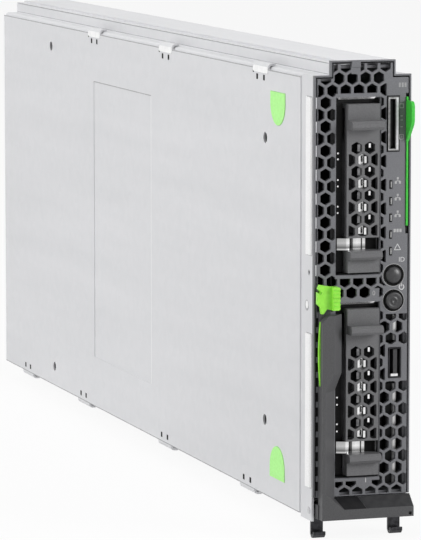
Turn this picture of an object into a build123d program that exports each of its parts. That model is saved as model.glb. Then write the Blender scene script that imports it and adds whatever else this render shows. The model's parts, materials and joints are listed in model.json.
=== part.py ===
from build123d import *
import os

# Blade server: a slim plug-in computer in a sheet-metal case, with a honeycomb front bezel, an ejector
# lever with claws, two drive carriers, a pull-out card, two buttons and a sliding side cover.
# Millimetres. X points right seen from the front, Y from front to back, Z up. The origin lies on the
# floor, in the middle of the overall box. Depths count back from the bezel's face and heights up from
# the case's bottom.

os.makedirs("parts", exist_ok=True)

# Sheet metal and clearances
SHEET = 1.0
SLIDE_GAP = 0.2
COVER_GAP = 0.15
ROUND_GAP = 0.3
PIN_GAP = 0.05
PRESS_GAP = 0.02
BEND = 1.4

# Drives and their carriers set the case's height and width
DRIVE_WIDTH = 69.85
DRIVE_LENGTH = 100.2
DRIVE_THICKNESS = 14.8
DRIVE_GAP = 0.12
DRIVE_FRONT = 8.0
CARRIER_WALL = 0.25
CARRIER_RAIL = 2.1
CARRIER_FACE = 3.0
BAY_MARGIN_LOW = 0.7
BAY_MARGIN_HIGH = 2.6
BAY_BASE = 19.0
BAY_SPACING = 12.4
BAY_TOP_MARGIN = 10.0
LEVER_COLUMN = 10.2
BAY_STRIP = 4.9
CONTROL_COLUMN = 14.4
RIDGE_SHOULDER = 7.4
RIDGE_HEIGHT = 6.4

CARRIER_HEIGHT = DRIVE_WIDTH + 2 * DRIVE_GAP + 2 * CARRIER_RAIL
CARRIER_WIDTH = DRIVE_THICKNESS + 2 * CARRIER_WALL
BAY_HEIGHT = CARRIER_HEIGHT + BAY_MARGIN_LOW + BAY_MARGIN_HIGH
BAY_WIDTH = BAY_STRIP + CARRIER_WIDTH + SLIDE_GAP
BODY_HEIGHT = BAY_BASE + 2 * BAY_HEIGHT + BAY_SPACING + BAY_TOP_MARGIN
BODY_WIDTH = LEVER_COLUMN + BAY_WIDTH + CONTROL_COLUMN
TOTAL_HEIGHT = BODY_HEIGHT + RIDGE_HEIGHT
HALF_WIDTH = BODY_WIDTH / 2
INNER = HALF_WIDTH - SHEET
RIDGE_HALF = HALF_WIDTH - RIDGE_SHOULDER
BAY_X0 = -HALF_WIDTH + LEVER_COLUMN
BAY_X1 = BAY_X0 + BAY_WIDTH
CARRIER_X1 = BAY_X1 - SLIDE_GAP
CARRIER_X0 = CARRIER_X1 - CARRIER_WIDTH
LOWER_BAY = BAY_BASE
UPPER_BAY = LOWER_BAY + BAY_HEIGHT + BAY_SPACING

# Depths, from the drive backplane and the system board's own layout
CAGE_FRONT = 4.0
CONNECTOR_GAP = 0.4
DRIVE_CONNECTOR = 4.4
BOARD = 1.6
BOARD_STEP = 3.4
BANK_MARGIN = 17.0
SLOT_LENGTH = 140.0
BANK_GAP = 5.0
REAR_ZONE = 90.0
REAR_MARGIN = 5.0
BACKPLANE = DRIVE_FRONT + DRIVE_LENGTH + CONNECTOR_GAP + DRIVE_CONNECTOR
BOARD_FRONT = BACKPLANE + BOARD + BOARD_STEP
BOARD_REAR = BOARD_FRONT + BANK_MARGIN + 2 * SLOT_LENGTH + BANK_GAP + REAR_ZONE
BODY_DEPTH = BOARD_REAR + REAR_MARGIN

# Reach of the claws below the case and of the card's tab in front of the bezel
CLAW_DROP = 8.0
FRONT_REACH = 7.7

FRONT_Y = -(BODY_DEPTH - FRONT_REACH) / 2
BASE_Z = CLAW_DROP

# Honeycomb
HEX_PITCH = 6.14
HEX_FLATS = 4.85
HEX_ROW = 5.23
HEX_LEAST = 0.2


def front_plane(depth):
    """Upright plane across the case: sketch in (x, height), normal towards the front."""
    return Plane(origin=(0, FRONT_Y + depth, BASE_Z), x_dir=(1, 0, 0), z_dir=(0, -1, 0))


def side_plane(x):
    """Upright plane along the case: sketch in (depth, height), normal towards +X."""
    return Plane(origin=(x, FRONT_Y, BASE_Z), x_dir=(0, 1, 0), z_dir=(1, 0, 0))


def level_plane(height):
    """Level plane: sketch in (x, depth), normal up."""
    return Plane(origin=(0, FRONT_Y, BASE_Z + height), x_dir=(1, 0, 0), z_dir=(0, 0, 1))


def span(u0, u1, v0, v1, mode=Mode.ADD):
    """Adds the rectangle between two corners to the sketch in hand."""
    with Locations(((u0 + u1) / 2, (v0 + v1) / 2)):
        Rectangle(u1 - u0, v1 - v0, mode=mode)


def case_outline(inset, low, top_inset):
    """Corners of the front outline with the guide ridge, set in from the case's outside."""
    side = HALF_WIDTH - inset
    ridge = RIDGE_HALF - inset
    shoulder = BODY_HEIGHT - inset
    top = TOTAL_HEIGHT - top_inset
    right = [(side, low), (side, shoulder), (ridge, shoulder), (ridge, top)]
    left = [(-x, h) for x, h in reversed(right)]
    return right + left


def honeycomb(zone, x0, h0):
    """Hexagon cells of a lattice through (x0, h0), clipped to a zone; thin clippings are left out."""
    box = zone.bounding_box()
    full_area = HEX_FLATS**2 * 3**0.5 / 2
    first = int((box.min.Y - h0) // HEX_ROW)
    last = int((box.max.Y - h0) // HEX_ROW) + 1
    left = int((box.min.X - x0) // HEX_PITCH) - 1
    right = int((box.max.X - x0) // HEX_PITCH) + 1
    centres = [
        (x0 + HEX_PITCH * (column + (row % 2) / 2), h0 + HEX_ROW * row)
        for row in range(first, last + 1)
        for column in range(left, right + 1)
    ]
    with BuildSketch() as cells:
        with Locations(*centres):
            RegularPolygon(HEX_FLATS / 2, 6, major_radius=False, rotation=30)
    clipped = []
    for cell in cells.sketch.faces():
        inside = cell & zone.face()
        if inside is not None:
            clipped += [face for face in inside.faces() if face.area > HEX_LEAST * full_area]
    return clipped


def finish(builder, name):
    """Labels a finished piece and writes its file."""
    builder.part.label = name
    export_step(builder.part, f"parts/{name}.step")


# Case: pan, top rail and front frame

RIM_DEPTH = 2.0
COVER_FRONT = 18.3
LIP = 2.8
LIP_FRONT = COVER_FRONT + 10.0
LIP_X = -(INNER - COVER_GAP)
PLATE_EDGE = RIDGE_HALF - 4.2
RAIL_OVERLAP = 6.0
FLANGE_FRONT = 19.0
WALL_CORNER = 9.0

with BuildPart() as chassis_pan:
    with BuildSketch(front_plane(BODY_DEPTH)):
        with BuildLine():
            FilletPolyline(
                (LIP_X, LIP),
                (LIP_X, 0),
                (HALF_WIDTH, 0),
                (HALF_WIDTH, BODY_HEIGHT),
                (RIDGE_HALF, BODY_HEIGHT),
                (RIDGE_HALF, TOTAL_HEIGHT),
                (-PLATE_EDGE, TOTAL_HEIGHT),
                radius=[BEND, BEND, BEND, BEND - SHEET, BEND],
            )
            offset(amount=SHEET, side=Side.LEFT)
        make_face()
    extrude(amount=BODY_DEPTH - RIM_DEPTH)
    # The bottom stays back from the front, where the lever's claws swing
    with BuildSketch(level_plane(-SHEET)):
        span(-HALF_WIDTH, INNER, 0, FLANGE_FRONT)
    extrude(amount=3 * SHEET, mode=Mode.SUBTRACT)
    with BuildSketch(level_plane(-SHEET)):
        span(-HALF_WIDTH, LIP_X + BEND, 0, LIP_FRONT)
    extrude(amount=LIP + 2 * SHEET, mode=Mode.SUBTRACT)
    with BuildSketch(side_plane(INNER - BEND)):
        Polygon((0, -SHEET), (RIM_DEPTH + WALL_CORNER, -SHEET), (0, RIM_DEPTH + WALL_CORNER), align=None)
    extrude(amount=SHEET + 2 * BEND, mode=Mode.SUBTRACT)
finish(chassis_pan, "chassis_pan")

with BuildPart() as top_rail:
    with BuildSketch(front_plane(BODY_DEPTH)):
        with BuildLine():
            FilletPolyline(
                (-PLATE_EDGE + RAIL_OVERLAP, TOTAL_HEIGHT - SHEET),
                (-RIDGE_HALF, TOTAL_HEIGHT - SHEET),
                (-RIDGE_HALF, BODY_HEIGHT),
                (LIP_X, BODY_HEIGHT),
                (LIP_X, BODY_HEIGHT - LIP),
                radius=[BEND, BEND - SHEET, BEND],
            )
            offset(amount=SHEET, side=Side.LEFT)
        make_face()
    extrude(amount=BODY_DEPTH - RIM_DEPTH)
    with BuildSketch(level_plane(BODY_HEIGHT - LIP - SHEET)):
        span(-HALF_WIDTH, LIP_X + BEND, 0, LIP_FRONT)
    extrude(amount=LIP, mode=Mode.SUBTRACT)
finish(top_rail, "top_rail")

JOGGLE = 2.0

with BuildPart() as front_frame:
    with BuildSketch(level_plane(SHEET)):
        with BuildLine():
            Polyline(
                (-HALF_WIDTH, RIM_DEPTH),
                (-HALF_WIDTH, COVER_FRONT - JOGGLE),
                (LIP_X, COVER_FRONT),
                (LIP_X, LIP_FRONT),
            )
            offset(amount=SHEET, side=Side.RIGHT, kind=Kind.INTERSECTION)
        make_face()
    extrude(amount=BODY_HEIGHT - 2 * SHEET)
    with BuildSketch(side_plane(-HALF_WIDTH)):
        span(RIM_DEPTH, COVER_FRONT - JOGGLE, 0, BODY_HEIGHT)
    extrude(amount=SHEET)
finish(front_frame, "front_frame")

# Side cover with curled tabs, and its touch pads

COVER_LOW = 1.2
COVER_TOP_STEP = 1.4
TAB_LENGTH = 21.0
TAB_REACH = 3.6
TAB_GAP = 0.2
TAB_BEND = 1.6
TOP_TABS = (72.5, 215.6, 338.0)
BOTTOM_TABS = (91.0, 218.0, 360.0, BODY_DEPTH - 46.0)
SLOT_PITCH = 9.5
SLOT_WIDTH = 1.0
SLOT_HEIGHT = 2.6
SLOT_EDGE = 3.3
SLOT_EDGE_HIGH = 4.0
COVER_HOLE = 2.5
LABEL_RECESS = 0.3
LABEL_DEPTH = (239.8, 339.4)
LABEL_HEIGHT = (27.2, 170.2)
PAD_WIDTH = 19.7
PAD_HEIGHT = 14.8
PAD_CENTRE = 48.2
PAD_EDGE_LOW = 11.3
PAD_EDGE_HIGH = 10.6
PAD_RECESS = 0.3
PAD_PROUD = 0.3
COVER_HIGH = BODY_HEIGHT - COVER_TOP_STEP
COVER_HOLES = (
    (65.9, BODY_HEIGHT - 32.3),
    (65.9, 35.8),
    (BODY_DEPTH - 95.5, BODY_HEIGHT - 12.9),
    (BODY_DEPTH - 99.5, 11.5),
)


def pad_shape(flat, direction, margin):
    """Round-ended touch pad: flat edge at a height, bulging up (+1) or down (-1)."""
    radius = PAD_WIDTH / 2 + margin
    middle = flat + direction * (PAD_HEIGHT - PAD_WIDTH / 2)
    edge = flat - direction * margin
    tip = middle + direction * radius
    with Locations((PAD_CENTRE, middle)):
        Circle(radius)
    span(PAD_CENTRE - radius, PAD_CENTRE + radius, min(edge, middle), max(edge, middle))
    span(PAD_CENTRE - radius, PAD_CENTRE + radius, min(edge, tip), max(edge, tip), mode=Mode.INTERSECT)


PADS = ((BODY_HEIGHT - PAD_EDGE_HIGH, -1), (PAD_EDGE_LOW, 1))

with BuildPart() as side_cover:
    with BuildSketch(side_plane(-HALF_WIDTH)):
        span(COVER_FRONT, BODY_DEPTH, COVER_LOW, COVER_HIGH)
    extrude(amount=SHEET)
    # Tabs curled over the case's top and bottom edges, each bent in three flats
    for centres, foot, crest in (
        (TOP_TABS, COVER_HIGH - SHEET, BODY_HEIGHT + TAB_GAP + SHEET),
        (BOTTOM_TABS, COVER_LOW + SHEET, -TAB_GAP - SHEET),
    ):
        back = -TAB_BEND if crest > foot else TAB_BEND
        for centre in centres:
            with BuildSketch(front_plane(centre + TAB_LENGTH / 2)):
                with BuildLine():
                    Polyline(
                        (-HALF_WIDTH, foot),
                        (-HALF_WIDTH, crest + back),
                        (-HALF_WIDTH + TAB_BEND * 0.3, crest + back * 0.3),
                        (-HALF_WIDTH + TAB_BEND, crest),
                        (-HALF_WIDTH + TAB_REACH, crest),
                    )
                    offset(amount=SHEET, side=Side.RIGHT if crest > foot else Side.LEFT, kind=Kind.INTERSECTION)
                make_face()
            extrude(amount=TAB_LENGTH)
    # Two punched slots at the root of each tab
    with BuildSketch(side_plane(-HALF_WIDTH)):
        for row, centres in ((COVER_HIGH - SLOT_EDGE_HIGH, TOP_TABS), (COVER_LOW + SLOT_EDGE, BOTTOM_TABS)):
            for centre in centres:
                for side in (-1, 1):
                    with Locations((centre + side * SLOT_PITCH / 2, row)):
                        Rectangle(SLOT_WIDTH, SLOT_HEIGHT)
        with Locations(*COVER_HOLES):
            Circle(COVER_HOLE)
    extrude(amount=SHEET, mode=Mode.SUBTRACT)
    with BuildSketch(side_plane(-HALF_WIDTH)):
        span(*LABEL_DEPTH, *LABEL_HEIGHT)
    extrude(amount=LABEL_RECESS, mode=Mode.SUBTRACT)
    for flat, direction in PADS:
        with BuildSketch(side_plane(-HALF_WIDTH)):
            pad_shape(flat, direction, COVER_GAP)
        extrude(amount=PAD_RECESS, mode=Mode.SUBTRACT)
finish(side_cover, "side_cover")

with BuildPart() as touch_pads:
    for flat, direction in PADS:
        with BuildSketch(side_plane(-HALF_WIDTH - PAD_PROUD)):
            pad_shape(flat, direction, 0)
        extrude(amount=PAD_PROUD + PAD_RECESS)
finish(touch_pads, "touch_pads")

# Contact gaskets on both sides of the front

GASKET_FRONT = 2.6
GASKET_WIDTH = 6.9
GASKET_PROUD = 0.8
GASKET_ROUND = 0.6
GASKETS = ((15.0, 83.0), (BODY_HEIGHT - 78.6, BODY_HEIGHT - 9.6))

for side, name in ((-1, "gasket_left"), (1, "gasket_right")):
    with BuildPart() as gasket:
        with BuildSketch(side_plane(side * HALF_WIDTH)):
            for low, high in GASKETS:
                span(GASKET_FRONT, GASKET_FRONT + GASKET_WIDTH, low, high)
        extrude(amount=side * GASKET_PROUD)
        outer = gasket.faces().sort_by(Axis.X)[-2:] if side > 0 else gasket.faces().sort_by(Axis.X)[:2]
        chamfer(outer.edges().filter_by(Axis.Z), GASKET_ROUND)
    finish(gasket, name)

# Front controls, counted from the case's right edge

CARD_EDGE = 1.5
CARD_THICKNESS = 0.8
CARD_HIGH = BODY_HEIGHT - 10.0
CARD_HEIGHT = 56.6
CARD_X1 = HALF_WIDTH - CARD_EDGE
CARD_X0 = CARD_X1 - CARD_THICKNESS
CARD_LOW = CARD_HIGH - CARD_HEIGHT
GUIDE_WALL = 0.8
GUIDE_X0 = CARD_X0 - SLIDE_GAP - GUIDE_WALL
GUIDE_LOW = CARD_LOW - SLIDE_GAP - GUIDE_WALL
GUIDE_HIGH = CARD_HIGH + SLIDE_GAP + GUIDE_WALL
CARD_SLOT_LOW = CARD_LOW - 3.6
CARD_SLOT_HIGH = CARD_HIGH + 1.6

CONSOLE_WIDTH = 5.1
CONSOLE_HEIGHT = 23.8
CONSOLE_X1 = HALF_WIDTH - 5.8
CONSOLE_X0 = CONSOLE_X1 - CONSOLE_WIDTH
CONSOLE_HIGH = BODY_HEIGHT - 9.8
CONSOLE_LOW = CONSOLE_HIGH - CONSOLE_HEIGHT
CONSOLE_FRAME = 1.0
CONSOLE_SLIT = 2.3

LIGHT_X = HALF_WIDTH - 9.35
LIGHT_WIDTH = 1.2
LIGHT_HEIGHT = 3.6
LIGHT_PITCH = 7.35
LIGHT_HIGH = BODY_HEIGHT - 48.4
LIGHTS = [LIGHT_HIGH - LIGHT_PITCH * n for n in range(5)]

BUTTON_X = HALF_WIDTH - 7.9
BUTTON_RADIUS = 3.8
BUTTON_RING = 0.8
BUTTON_CATCH = 0.4
BUTTON_DOME = 1.6
BUTTON_CROWN = 2.2
BUTTON_EDGE = 0.4
BUTTON_FLANGE = 0.8
BUTTON_STEM = 1.5
BUTTON_TRAVEL = 1.2
BUTTON_PITCH = 11.2
ID_BUTTON = BODY_HEIGHT - 88.4
POWER_BUTTON = ID_BUTTON - BUTTON_PITCH

USB_X = HALF_WIDTH - 7.15
USB_WIDTH = 5.7
USB_HEIGHT = 13.3
USB_MIDDLE = 69.3
USB_WALL = 0.4

PANEL_DEPTH = 9.0
FIT_GAP = 0.1

# Ejector lever and latch, counted from the case's left edge

LEVER_FRONT = -6.0
LEVER_BACK = -0.4
ARM_X0 = -HALF_WIDTH + 2.2
ARM_X1 = -HALF_WIDTH + 9.7
ARM_FLARE = 3.2
ARM_HIGH = 92.0
LATCH_X1 = ARM_X1 + 0.5
LATCH_LOW = ARM_HIGH + 2.3
LATCH_HIGH = ARM_HIGH + 12.6
LATCH_BACK = LEVER_BACK - 1.9
LATCH_PLATE = 1.8
LATCH_FRONT = LEVER_FRONT - 0.3
PIVOT_X = ARM_X0 + 2.5
PIVOT_H = ARM_HIGH + 5.6
CATCH_MARGIN = 1.2
CATCH_SIDE = 0.4
CATCH_X = (ARM_X0 + 0.2, ARM_X0 + 2.4)
CATCH_H = (PIVOT_H + 2.8, PIVOT_H + 5.2)

# Front bezel

BEZEL_LOW = 10.9
SKIRT_DEPTH = 12.0
SKIRT_WALL = 1.4
RIM = 0.75
GROOVE = 0.6
GROOVE_DEPTH = 1.3
LATTICE_EDGE = 0.12
LATTICE_FOOT = 0.5
BAY_FRAME = 0.4
BAY_FRAME_LOW = 1.6
BAY_FRAME_HIGH = 2.0
BAY_BEVEL = 0.35
PLAIN_LOW = 91.0
PLAIN_X = BAY_X1 + 2.9
USB_PLAIN = 1.6
CLIP_X = (-5.4, -1.2)
CLIP_HEIGHT = 3.0
CLIP_PROUD = 0.4
MARK_WIDTH = 4.2
MARK_HEIGHT = 4.6
MARKS = ((5.9, UPPER_BAY - 8.6), (2.3, LOWER_BAY - 2.0))
SKIRT_INSET = SHEET + SLIDE_GAP

with BuildSketch() as lattice_zone:
    edge = RIM + GROOVE + LATTICE_EDGE
    Polygon(*case_outline(edge, BEZEL_LOW + LATTICE_FOOT, edge), align=None)
    for bay in (LOWER_BAY, UPPER_BAY):
        span(
            BAY_X0 - BAY_FRAME,
            BAY_X1 + BAY_FRAME,
            bay - BAY_FRAME_LOW,
            bay + BAY_HEIGHT + BAY_FRAME_HIGH,
            Mode.SUBTRACT,
        )
    span(PLAIN_X, HALF_WIDTH, PLAIN_LOW, BODY_HEIGHT, Mode.SUBTRACT)
    with Locations((BUTTON_X, ID_BUTTON), (BUTTON_X, POWER_BUTTON)):
        Circle(BUTTON_RADIUS + BUTTON_RING + SHEET, mode=Mode.SUBTRACT)
    # Plain patches that carry the bay numbers, and the clip's block on the ridge
    with Locations(*MARKS):
        Rectangle(MARK_WIDTH, MARK_HEIGHT, mode=Mode.SUBTRACT)
    span(*CLIP_X, TOTAL_HEIGHT - 2 * CLIP_HEIGHT, TOTAL_HEIGHT, Mode.SUBTRACT)
    # Plain behind the lever's arm, which covers it
    span(-HALF_WIDTH, BAY_X0, BEZEL_LOW, ARM_HIGH, Mode.SUBTRACT)
    span(
        USB_X - USB_WIDTH / 2 - USB_PLAIN,
        HALF_WIDTH,
        USB_MIDDLE - USB_HEIGHT / 2 - USB_PLAIN,
        USB_MIDDLE + USB_HEIGHT / 2 + USB_PLAIN,
        Mode.SUBTRACT,
    )
    catch_edge = CATCH_MARGIN + LATTICE_EDGE
    span(
        CATCH_X[0] - catch_edge,
        CATCH_X[1] + catch_edge,
        CATCH_H[0] - catch_edge,
        CATCH_H[1] + catch_edge,
        Mode.SUBTRACT,
    )

LATTICE_X = BAY_X0 + 7.37
LATTICE_H = BODY_HEIGHT - 11.9
bezel_cells = honeycomb(lattice_zone.sketch, LATTICE_X, LATTICE_H)

with BuildSketch() as bezel_openings:
    for bay in (LOWER_BAY, UPPER_BAY):
        span(BAY_X0, BAY_X1, bay, bay + BAY_HEIGHT)
    with Locations((BUTTON_X, ID_BUTTON), (BUTTON_X, POWER_BUTTON)):
        Circle(BUTTON_RADIUS + BUTTON_RING)
    with Locations(*[(LIGHT_X, light) for light in LIGHTS]):
        Rectangle(LIGHT_WIDTH + 2 * FIT_GAP, LIGHT_HEIGHT + 2 * FIT_GAP)
    span(CONSOLE_X0 - FIT_GAP, CONSOLE_X1 + FIT_GAP, CONSOLE_LOW - FIT_GAP, CONSOLE_HIGH + FIT_GAP)
    with Locations((USB_X, USB_MIDDLE)):
        Rectangle(USB_WIDTH + 4 * FIT_GAP, USB_HEIGHT + 4 * FIT_GAP)
    span(CARD_X0 - SLIDE_GAP, CARD_X1 + SLIDE_GAP, CARD_SLOT_LOW, CARD_SLOT_HIGH)
    span(
        CATCH_X[0] - CATCH_SIDE,
        CATCH_X[1] + CATCH_MARGIN,
        CATCH_H[0] - CATCH_MARGIN,
        CATCH_H[1] + CATCH_MARGIN,
    )

with BuildSketch() as bezel_outline:
    Polygon(*case_outline(0, BEZEL_LOW, 0), align=None)

openings = bezel_openings.sketch.faces() + bezel_cells
bezel_plate = Face(bezel_outline.sketch.face().outer_wire(), [face.outer_wire() for face in openings])

with BuildPart() as front_bezel:
    # Skirt that slips inside the sheet metal, open behind the card's slot
    with BuildSketch(front_plane(SKIRT_DEPTH)):
        Polygon(*case_outline(SKIRT_INSET, BEZEL_LOW, SKIRT_INSET + SHEET), align=None)
        inner = SKIRT_INSET + SKIRT_WALL
        Polygon(*case_outline(inner, BEZEL_LOW + SKIRT_WALL, inner + SHEET), align=None, mode=Mode.SUBTRACT)
        span(GUIDE_X0 - SLIDE_GAP, HALF_WIDTH, GUIDE_LOW - SLIDE_GAP, GUIDE_HIGH + SLIDE_GAP, Mode.SUBTRACT)
    extrude(amount=SKIRT_DEPTH - RIM_DEPTH)
    # Clip block at the ridge's top edge
    with BuildSketch(front_plane(0)):
        span(*CLIP_X, TOTAL_HEIGHT - CLIP_HEIGHT, TOTAL_HEIGHT - SLIDE_GAP)
    extrude(amount=CLIP_PROUD)
    # Face plate with the honeycomb and all openings
    with BuildSketch(front_plane(RIM_DEPTH)):
        add(bezel_plate)
    extrude(amount=RIM_DEPTH)
    # Shadow groove inside the rim
    with BuildSketch(front_plane(GROOVE_DEPTH)):
        Polygon(*case_outline(RIM, -BEZEL_LOW, RIM), align=None)
        Polygon(*case_outline(RIM + GROOVE, -2 * BEZEL_LOW, RIM + GROOVE), align=None, mode=Mode.SUBTRACT)
    extrude(amount=GROOVE_DEPTH, mode=Mode.SUBTRACT)
    # Bevel round the mouths of the drive bays
    with BuildSketch(front_plane(BAY_BEVEL)):
        for bay in (LOWER_BAY, UPPER_BAY):
            span(BAY_X0, BAY_X1, bay, bay + BAY_HEIGHT)
    extrude(amount=BAY_BEVEL, taper=-45, mode=Mode.SUBTRACT)
finish(front_bezel, "front_bezel")

# Ejector lever: arm and bottom bar, turning on a pin behind the bar

PIN_RADIUS = 1.5
PIN_DEPTH = 4.0
PIN_HEIGHT = 4.5
KNUCKLE = 3.2
EAR_X = (10.6, 12.1)
KNUCKLE_X = (EAR_X[1] + ROUND_GAP, HALF_WIDTH - 1.7)
CLAW_X = (HALF_WIDTH - 7.2, HALF_WIDTH - 1.6)
CLAW_SHEET = 1.2
CLAW_LIP = 3.4
CLAW_NOSE = 1.6
BAR_LOW = 1.4
BAR_FACE = 5.8
BAR_HIGH = 10.7
BAR_X1 = HALF_WIDTH
FOOT_X = ARM_X1 + 2.64
FOOT_TOP = 13.5
FLARE_LOW = 58.3
FLARE_HIGH = 66.0
LEVER_WALL = 1.4
LEVER_SKIN = 1.6
EAR_SKIN = 1.6
EAR_ROUND = 2.4
PIVOT_RADIUS = 1.2
PIVOT_REACH = 1.1
TOP_CUT = 2.8
BAR_HOLE = 0.8

ARM_EDGE = 1.3
ARM_CREST = 5.4


def arm_section(front_width, back_width):
    """Lever arm cut across: narrow front, right side sloped back to the wide rear."""
    Polygon(
        (ARM_X0, LEVER_BACK),
        (ARM_X0, LEVER_FRONT),
        (ARM_X0 + front_width, LEVER_FRONT),
        (ARM_X0 + back_width, LEVER_BACK),
        align=None,
    )


with BuildPart() as ejector_lever:
    # Arm: slim below, widening to the head that carries the latch
    with BuildSketch(level_plane(BAR_LOW)):
        arm_section(ARM_EDGE, ARM_X1 - ARM_X0)
    extrude(amount=FLARE_LOW - BAR_LOW)
    with BuildSketch(level_plane(FLARE_LOW)):
        arm_section(ARM_EDGE, ARM_X1 - ARM_X0)
    with BuildSketch(level_plane(FLARE_HIGH)):
        arm_section(ARM_CREST, ARM_X1 + ARM_FLARE - ARM_X0)
    loft()
    with BuildSketch(level_plane(FLARE_HIGH)):
        arm_section(ARM_CREST, ARM_X1 + ARM_FLARE - ARM_X0)
    extrude(amount=ARM_HIGH - FLARE_HIGH)
    with BuildSketch(front_plane(LEVER_BACK)):
        Polygon((ARM_X0, ARM_HIGH), (ARM_X0 + TOP_CUT, ARM_HIGH), (ARM_X0, ARM_HIGH - TOP_CUT), align=None)
    extrude(amount=LEVER_BACK - LEVER_FRONT, mode=Mode.SUBTRACT)
    # Foot: the arm flares into the bar
    with BuildSketch(front_plane(LEVER_BACK)):
        Polygon((ARM_X0, BAR_LOW), (FOOT_X, BAR_LOW), (FOOT_X, BAR_FACE), (ARM_X0 + ARM_EDGE, FOOT_TOP), align=None)
    extrude(amount=LEVER_BACK - LEVER_FRONT)
    # Bottom bar with a sloped face above it
    with BuildSketch(side_plane(ARM_X0)):
        Polygon(
            (LEVER_BACK, BAR_LOW),
            (LEVER_FRONT, BAR_LOW),
            (LEVER_FRONT, BAR_FACE),
            (LEVER_BACK, BAR_HIGH),
            align=None,
        )
    extrude(amount=BAR_X1 - ARM_X0)
    # The head is hollow behind
    with BuildSketch(front_plane(LEVER_BACK)):
        span(ARM_X0 + LEVER_WALL, ARM_X0 + ARM_CREST, FLARE_HIGH + LEVER_WALL, ARM_HIGH - TOP_CUT - LEVER_WALL)
    extrude(amount=LEVER_BACK - LEVER_FRONT - 2 * LEVER_SKIN, mode=Mode.SUBTRACT)
    # Ear behind the latch, with the latch's pivot
    with BuildSketch(front_plane(LEVER_BACK)):
        span(PIVOT_X - EAR_ROUND, PIVOT_X + EAR_ROUND, ARM_HIGH - TOP_CUT - LEVER_WALL, PIVOT_H)
        with Locations((PIVOT_X, PIVOT_H)):
            Circle(EAR_ROUND)
    extrude(amount=EAR_SKIN)
    with BuildSketch(front_plane(LEVER_BACK)):
        with Locations((PIVOT_X, PIVOT_H)):
            Circle(PIVOT_RADIUS)
    extrude(amount=LEVER_BACK - LATCH_BACK + PIVOT_REACH)
    # Knuckles round the hinge pin
    for side in (-1, 1):
        with BuildSketch(side_plane(side * KNUCKLE_X[0])):
            with Locations((PIN_DEPTH, PIN_HEIGHT)):
                Circle(KNUCKLE)
            span(LEVER_BACK - SHEET, PIN_DEPTH, PIN_HEIGHT - KNUCKLE + FIT_GAP, PIN_HEIGHT + KNUCKLE)
            span(PIN_DEPTH, PIN_DEPTH + KNUCKLE, PIN_HEIGHT - KNUCKLE / 2, PIN_HEIGHT + KNUCKLE)
        extrude(amount=side * (KNUCKLE_X[1] - KNUCKLE_X[0]))
    with BuildSketch(side_plane(-HALF_WIDTH)):
        with Locations((PIN_DEPTH, PIN_HEIGHT)):
            Circle(PIN_RADIUS + PIN_GAP)
    extrude(amount=BODY_WIDTH, mode=Mode.SUBTRACT)
    with BuildSketch(front_plane(LEVER_FRONT)):
        with Locations((BAR_X1 - 2 * BAR_HOLE, (BAR_LOW + BAR_FACE) / 2 - BAR_HOLE)):
            Circle(BAR_HOLE)
    extrude(amount=-LEVER_WALL, mode=Mode.SUBTRACT)
finish(ejector_lever, "ejector_lever")

CLAW_BACK = PIN_DEPTH + KNUCKLE + CLAW_SHEET
CLAW_TIP = CLAW_BACK - CLAW_SHEET - CLAW_LIP
CLAW_BEND = 1.2 * CLAW_SHEET

with BuildPart() as lever_claws:
    for side in (-1, 1):
        with BuildSketch(side_plane(side * CLAW_X[0])):
            with BuildLine():
                Polyline(
                    (CLAW_BACK, PIN_HEIGHT + KNUCKLE),
                    (CLAW_BACK, CLAW_BEND - CLAW_DROP),
                    (CLAW_BACK - CLAW_BEND, -CLAW_DROP),
                    (CLAW_TIP + CLAW_BEND, -CLAW_DROP),
                    (CLAW_TIP, CLAW_BEND - CLAW_DROP),
                    (CLAW_TIP, CLAW_NOSE + CLAW_SHEET - CLAW_DROP),
                )
                offset(amount=CLAW_SHEET, side=Side.RIGHT, kind=Kind.INTERSECTION)
            make_face()
        extrude(amount=side * (CLAW_X[1] - CLAW_X[0]))
finish(lever_claws, "lever_claws")

BRACKET_REAR = 32.0
BRACKET_SHEET = 1.2
BRACKET_RISE = 5.0

with BuildPart() as hinge_bracket:
    with BuildSketch(level_plane(SHEET)):
        span(-EAR_X[1], EAR_X[1], FLANGE_FRONT + SHEET, BRACKET_REAR)
    extrude(amount=BRACKET_SHEET)
    for side in (-1, 1):
        with BuildSketch(side_plane(side * EAR_X[0])):
            with Locations((PIN_DEPTH, PIN_HEIGHT)):
                RegularPolygon(KNUCKLE, 8)
            Polygon(
                (PIN_DEPTH, PIN_HEIGHT - KNUCKLE),
                (FLANGE_FRONT + SHEET, SHEET),
                (BRACKET_REAR, SHEET),
                (BRACKET_REAR, SHEET + BRACKET_RISE),
                (PIN_DEPTH, PIN_HEIGHT + KNUCKLE),
                align=None,
            )
        extrude(amount=side * (EAR_X[1] - EAR_X[0]))
    with BuildSketch(side_plane(-HALF_WIDTH)):
        with Locations((PIN_DEPTH, PIN_HEIGHT)):
            Circle(PIN_RADIUS + PRESS_GAP)
    extrude(amount=BODY_WIDTH, mode=Mode.SUBTRACT)
finish(hinge_bracket, "hinge_bracket")

with BuildPart() as lever_pin:
    with BuildSketch(side_plane(-KNUCKLE_X[1])):
        with Locations((PIN_DEPTH, PIN_HEIGHT)):
            Circle(PIN_RADIUS)
    extrude(amount=2 * KNUCKLE_X[1])
finish(lever_pin, "lever_pin")

# Green latch on the lever's head: plate with a flex slot, ribbed grip, catch at the back

LATCH_X0 = ARM_X0 - 2.0
HORN = 1.0
LATCH_TAIL = ARM_HIGH + 0.7
GRIP_WIDTH = 3.4
GRIP_RIBS = 5
RIB_DEPTH = 0.4
FLEX_SLOT = 1.2

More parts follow.
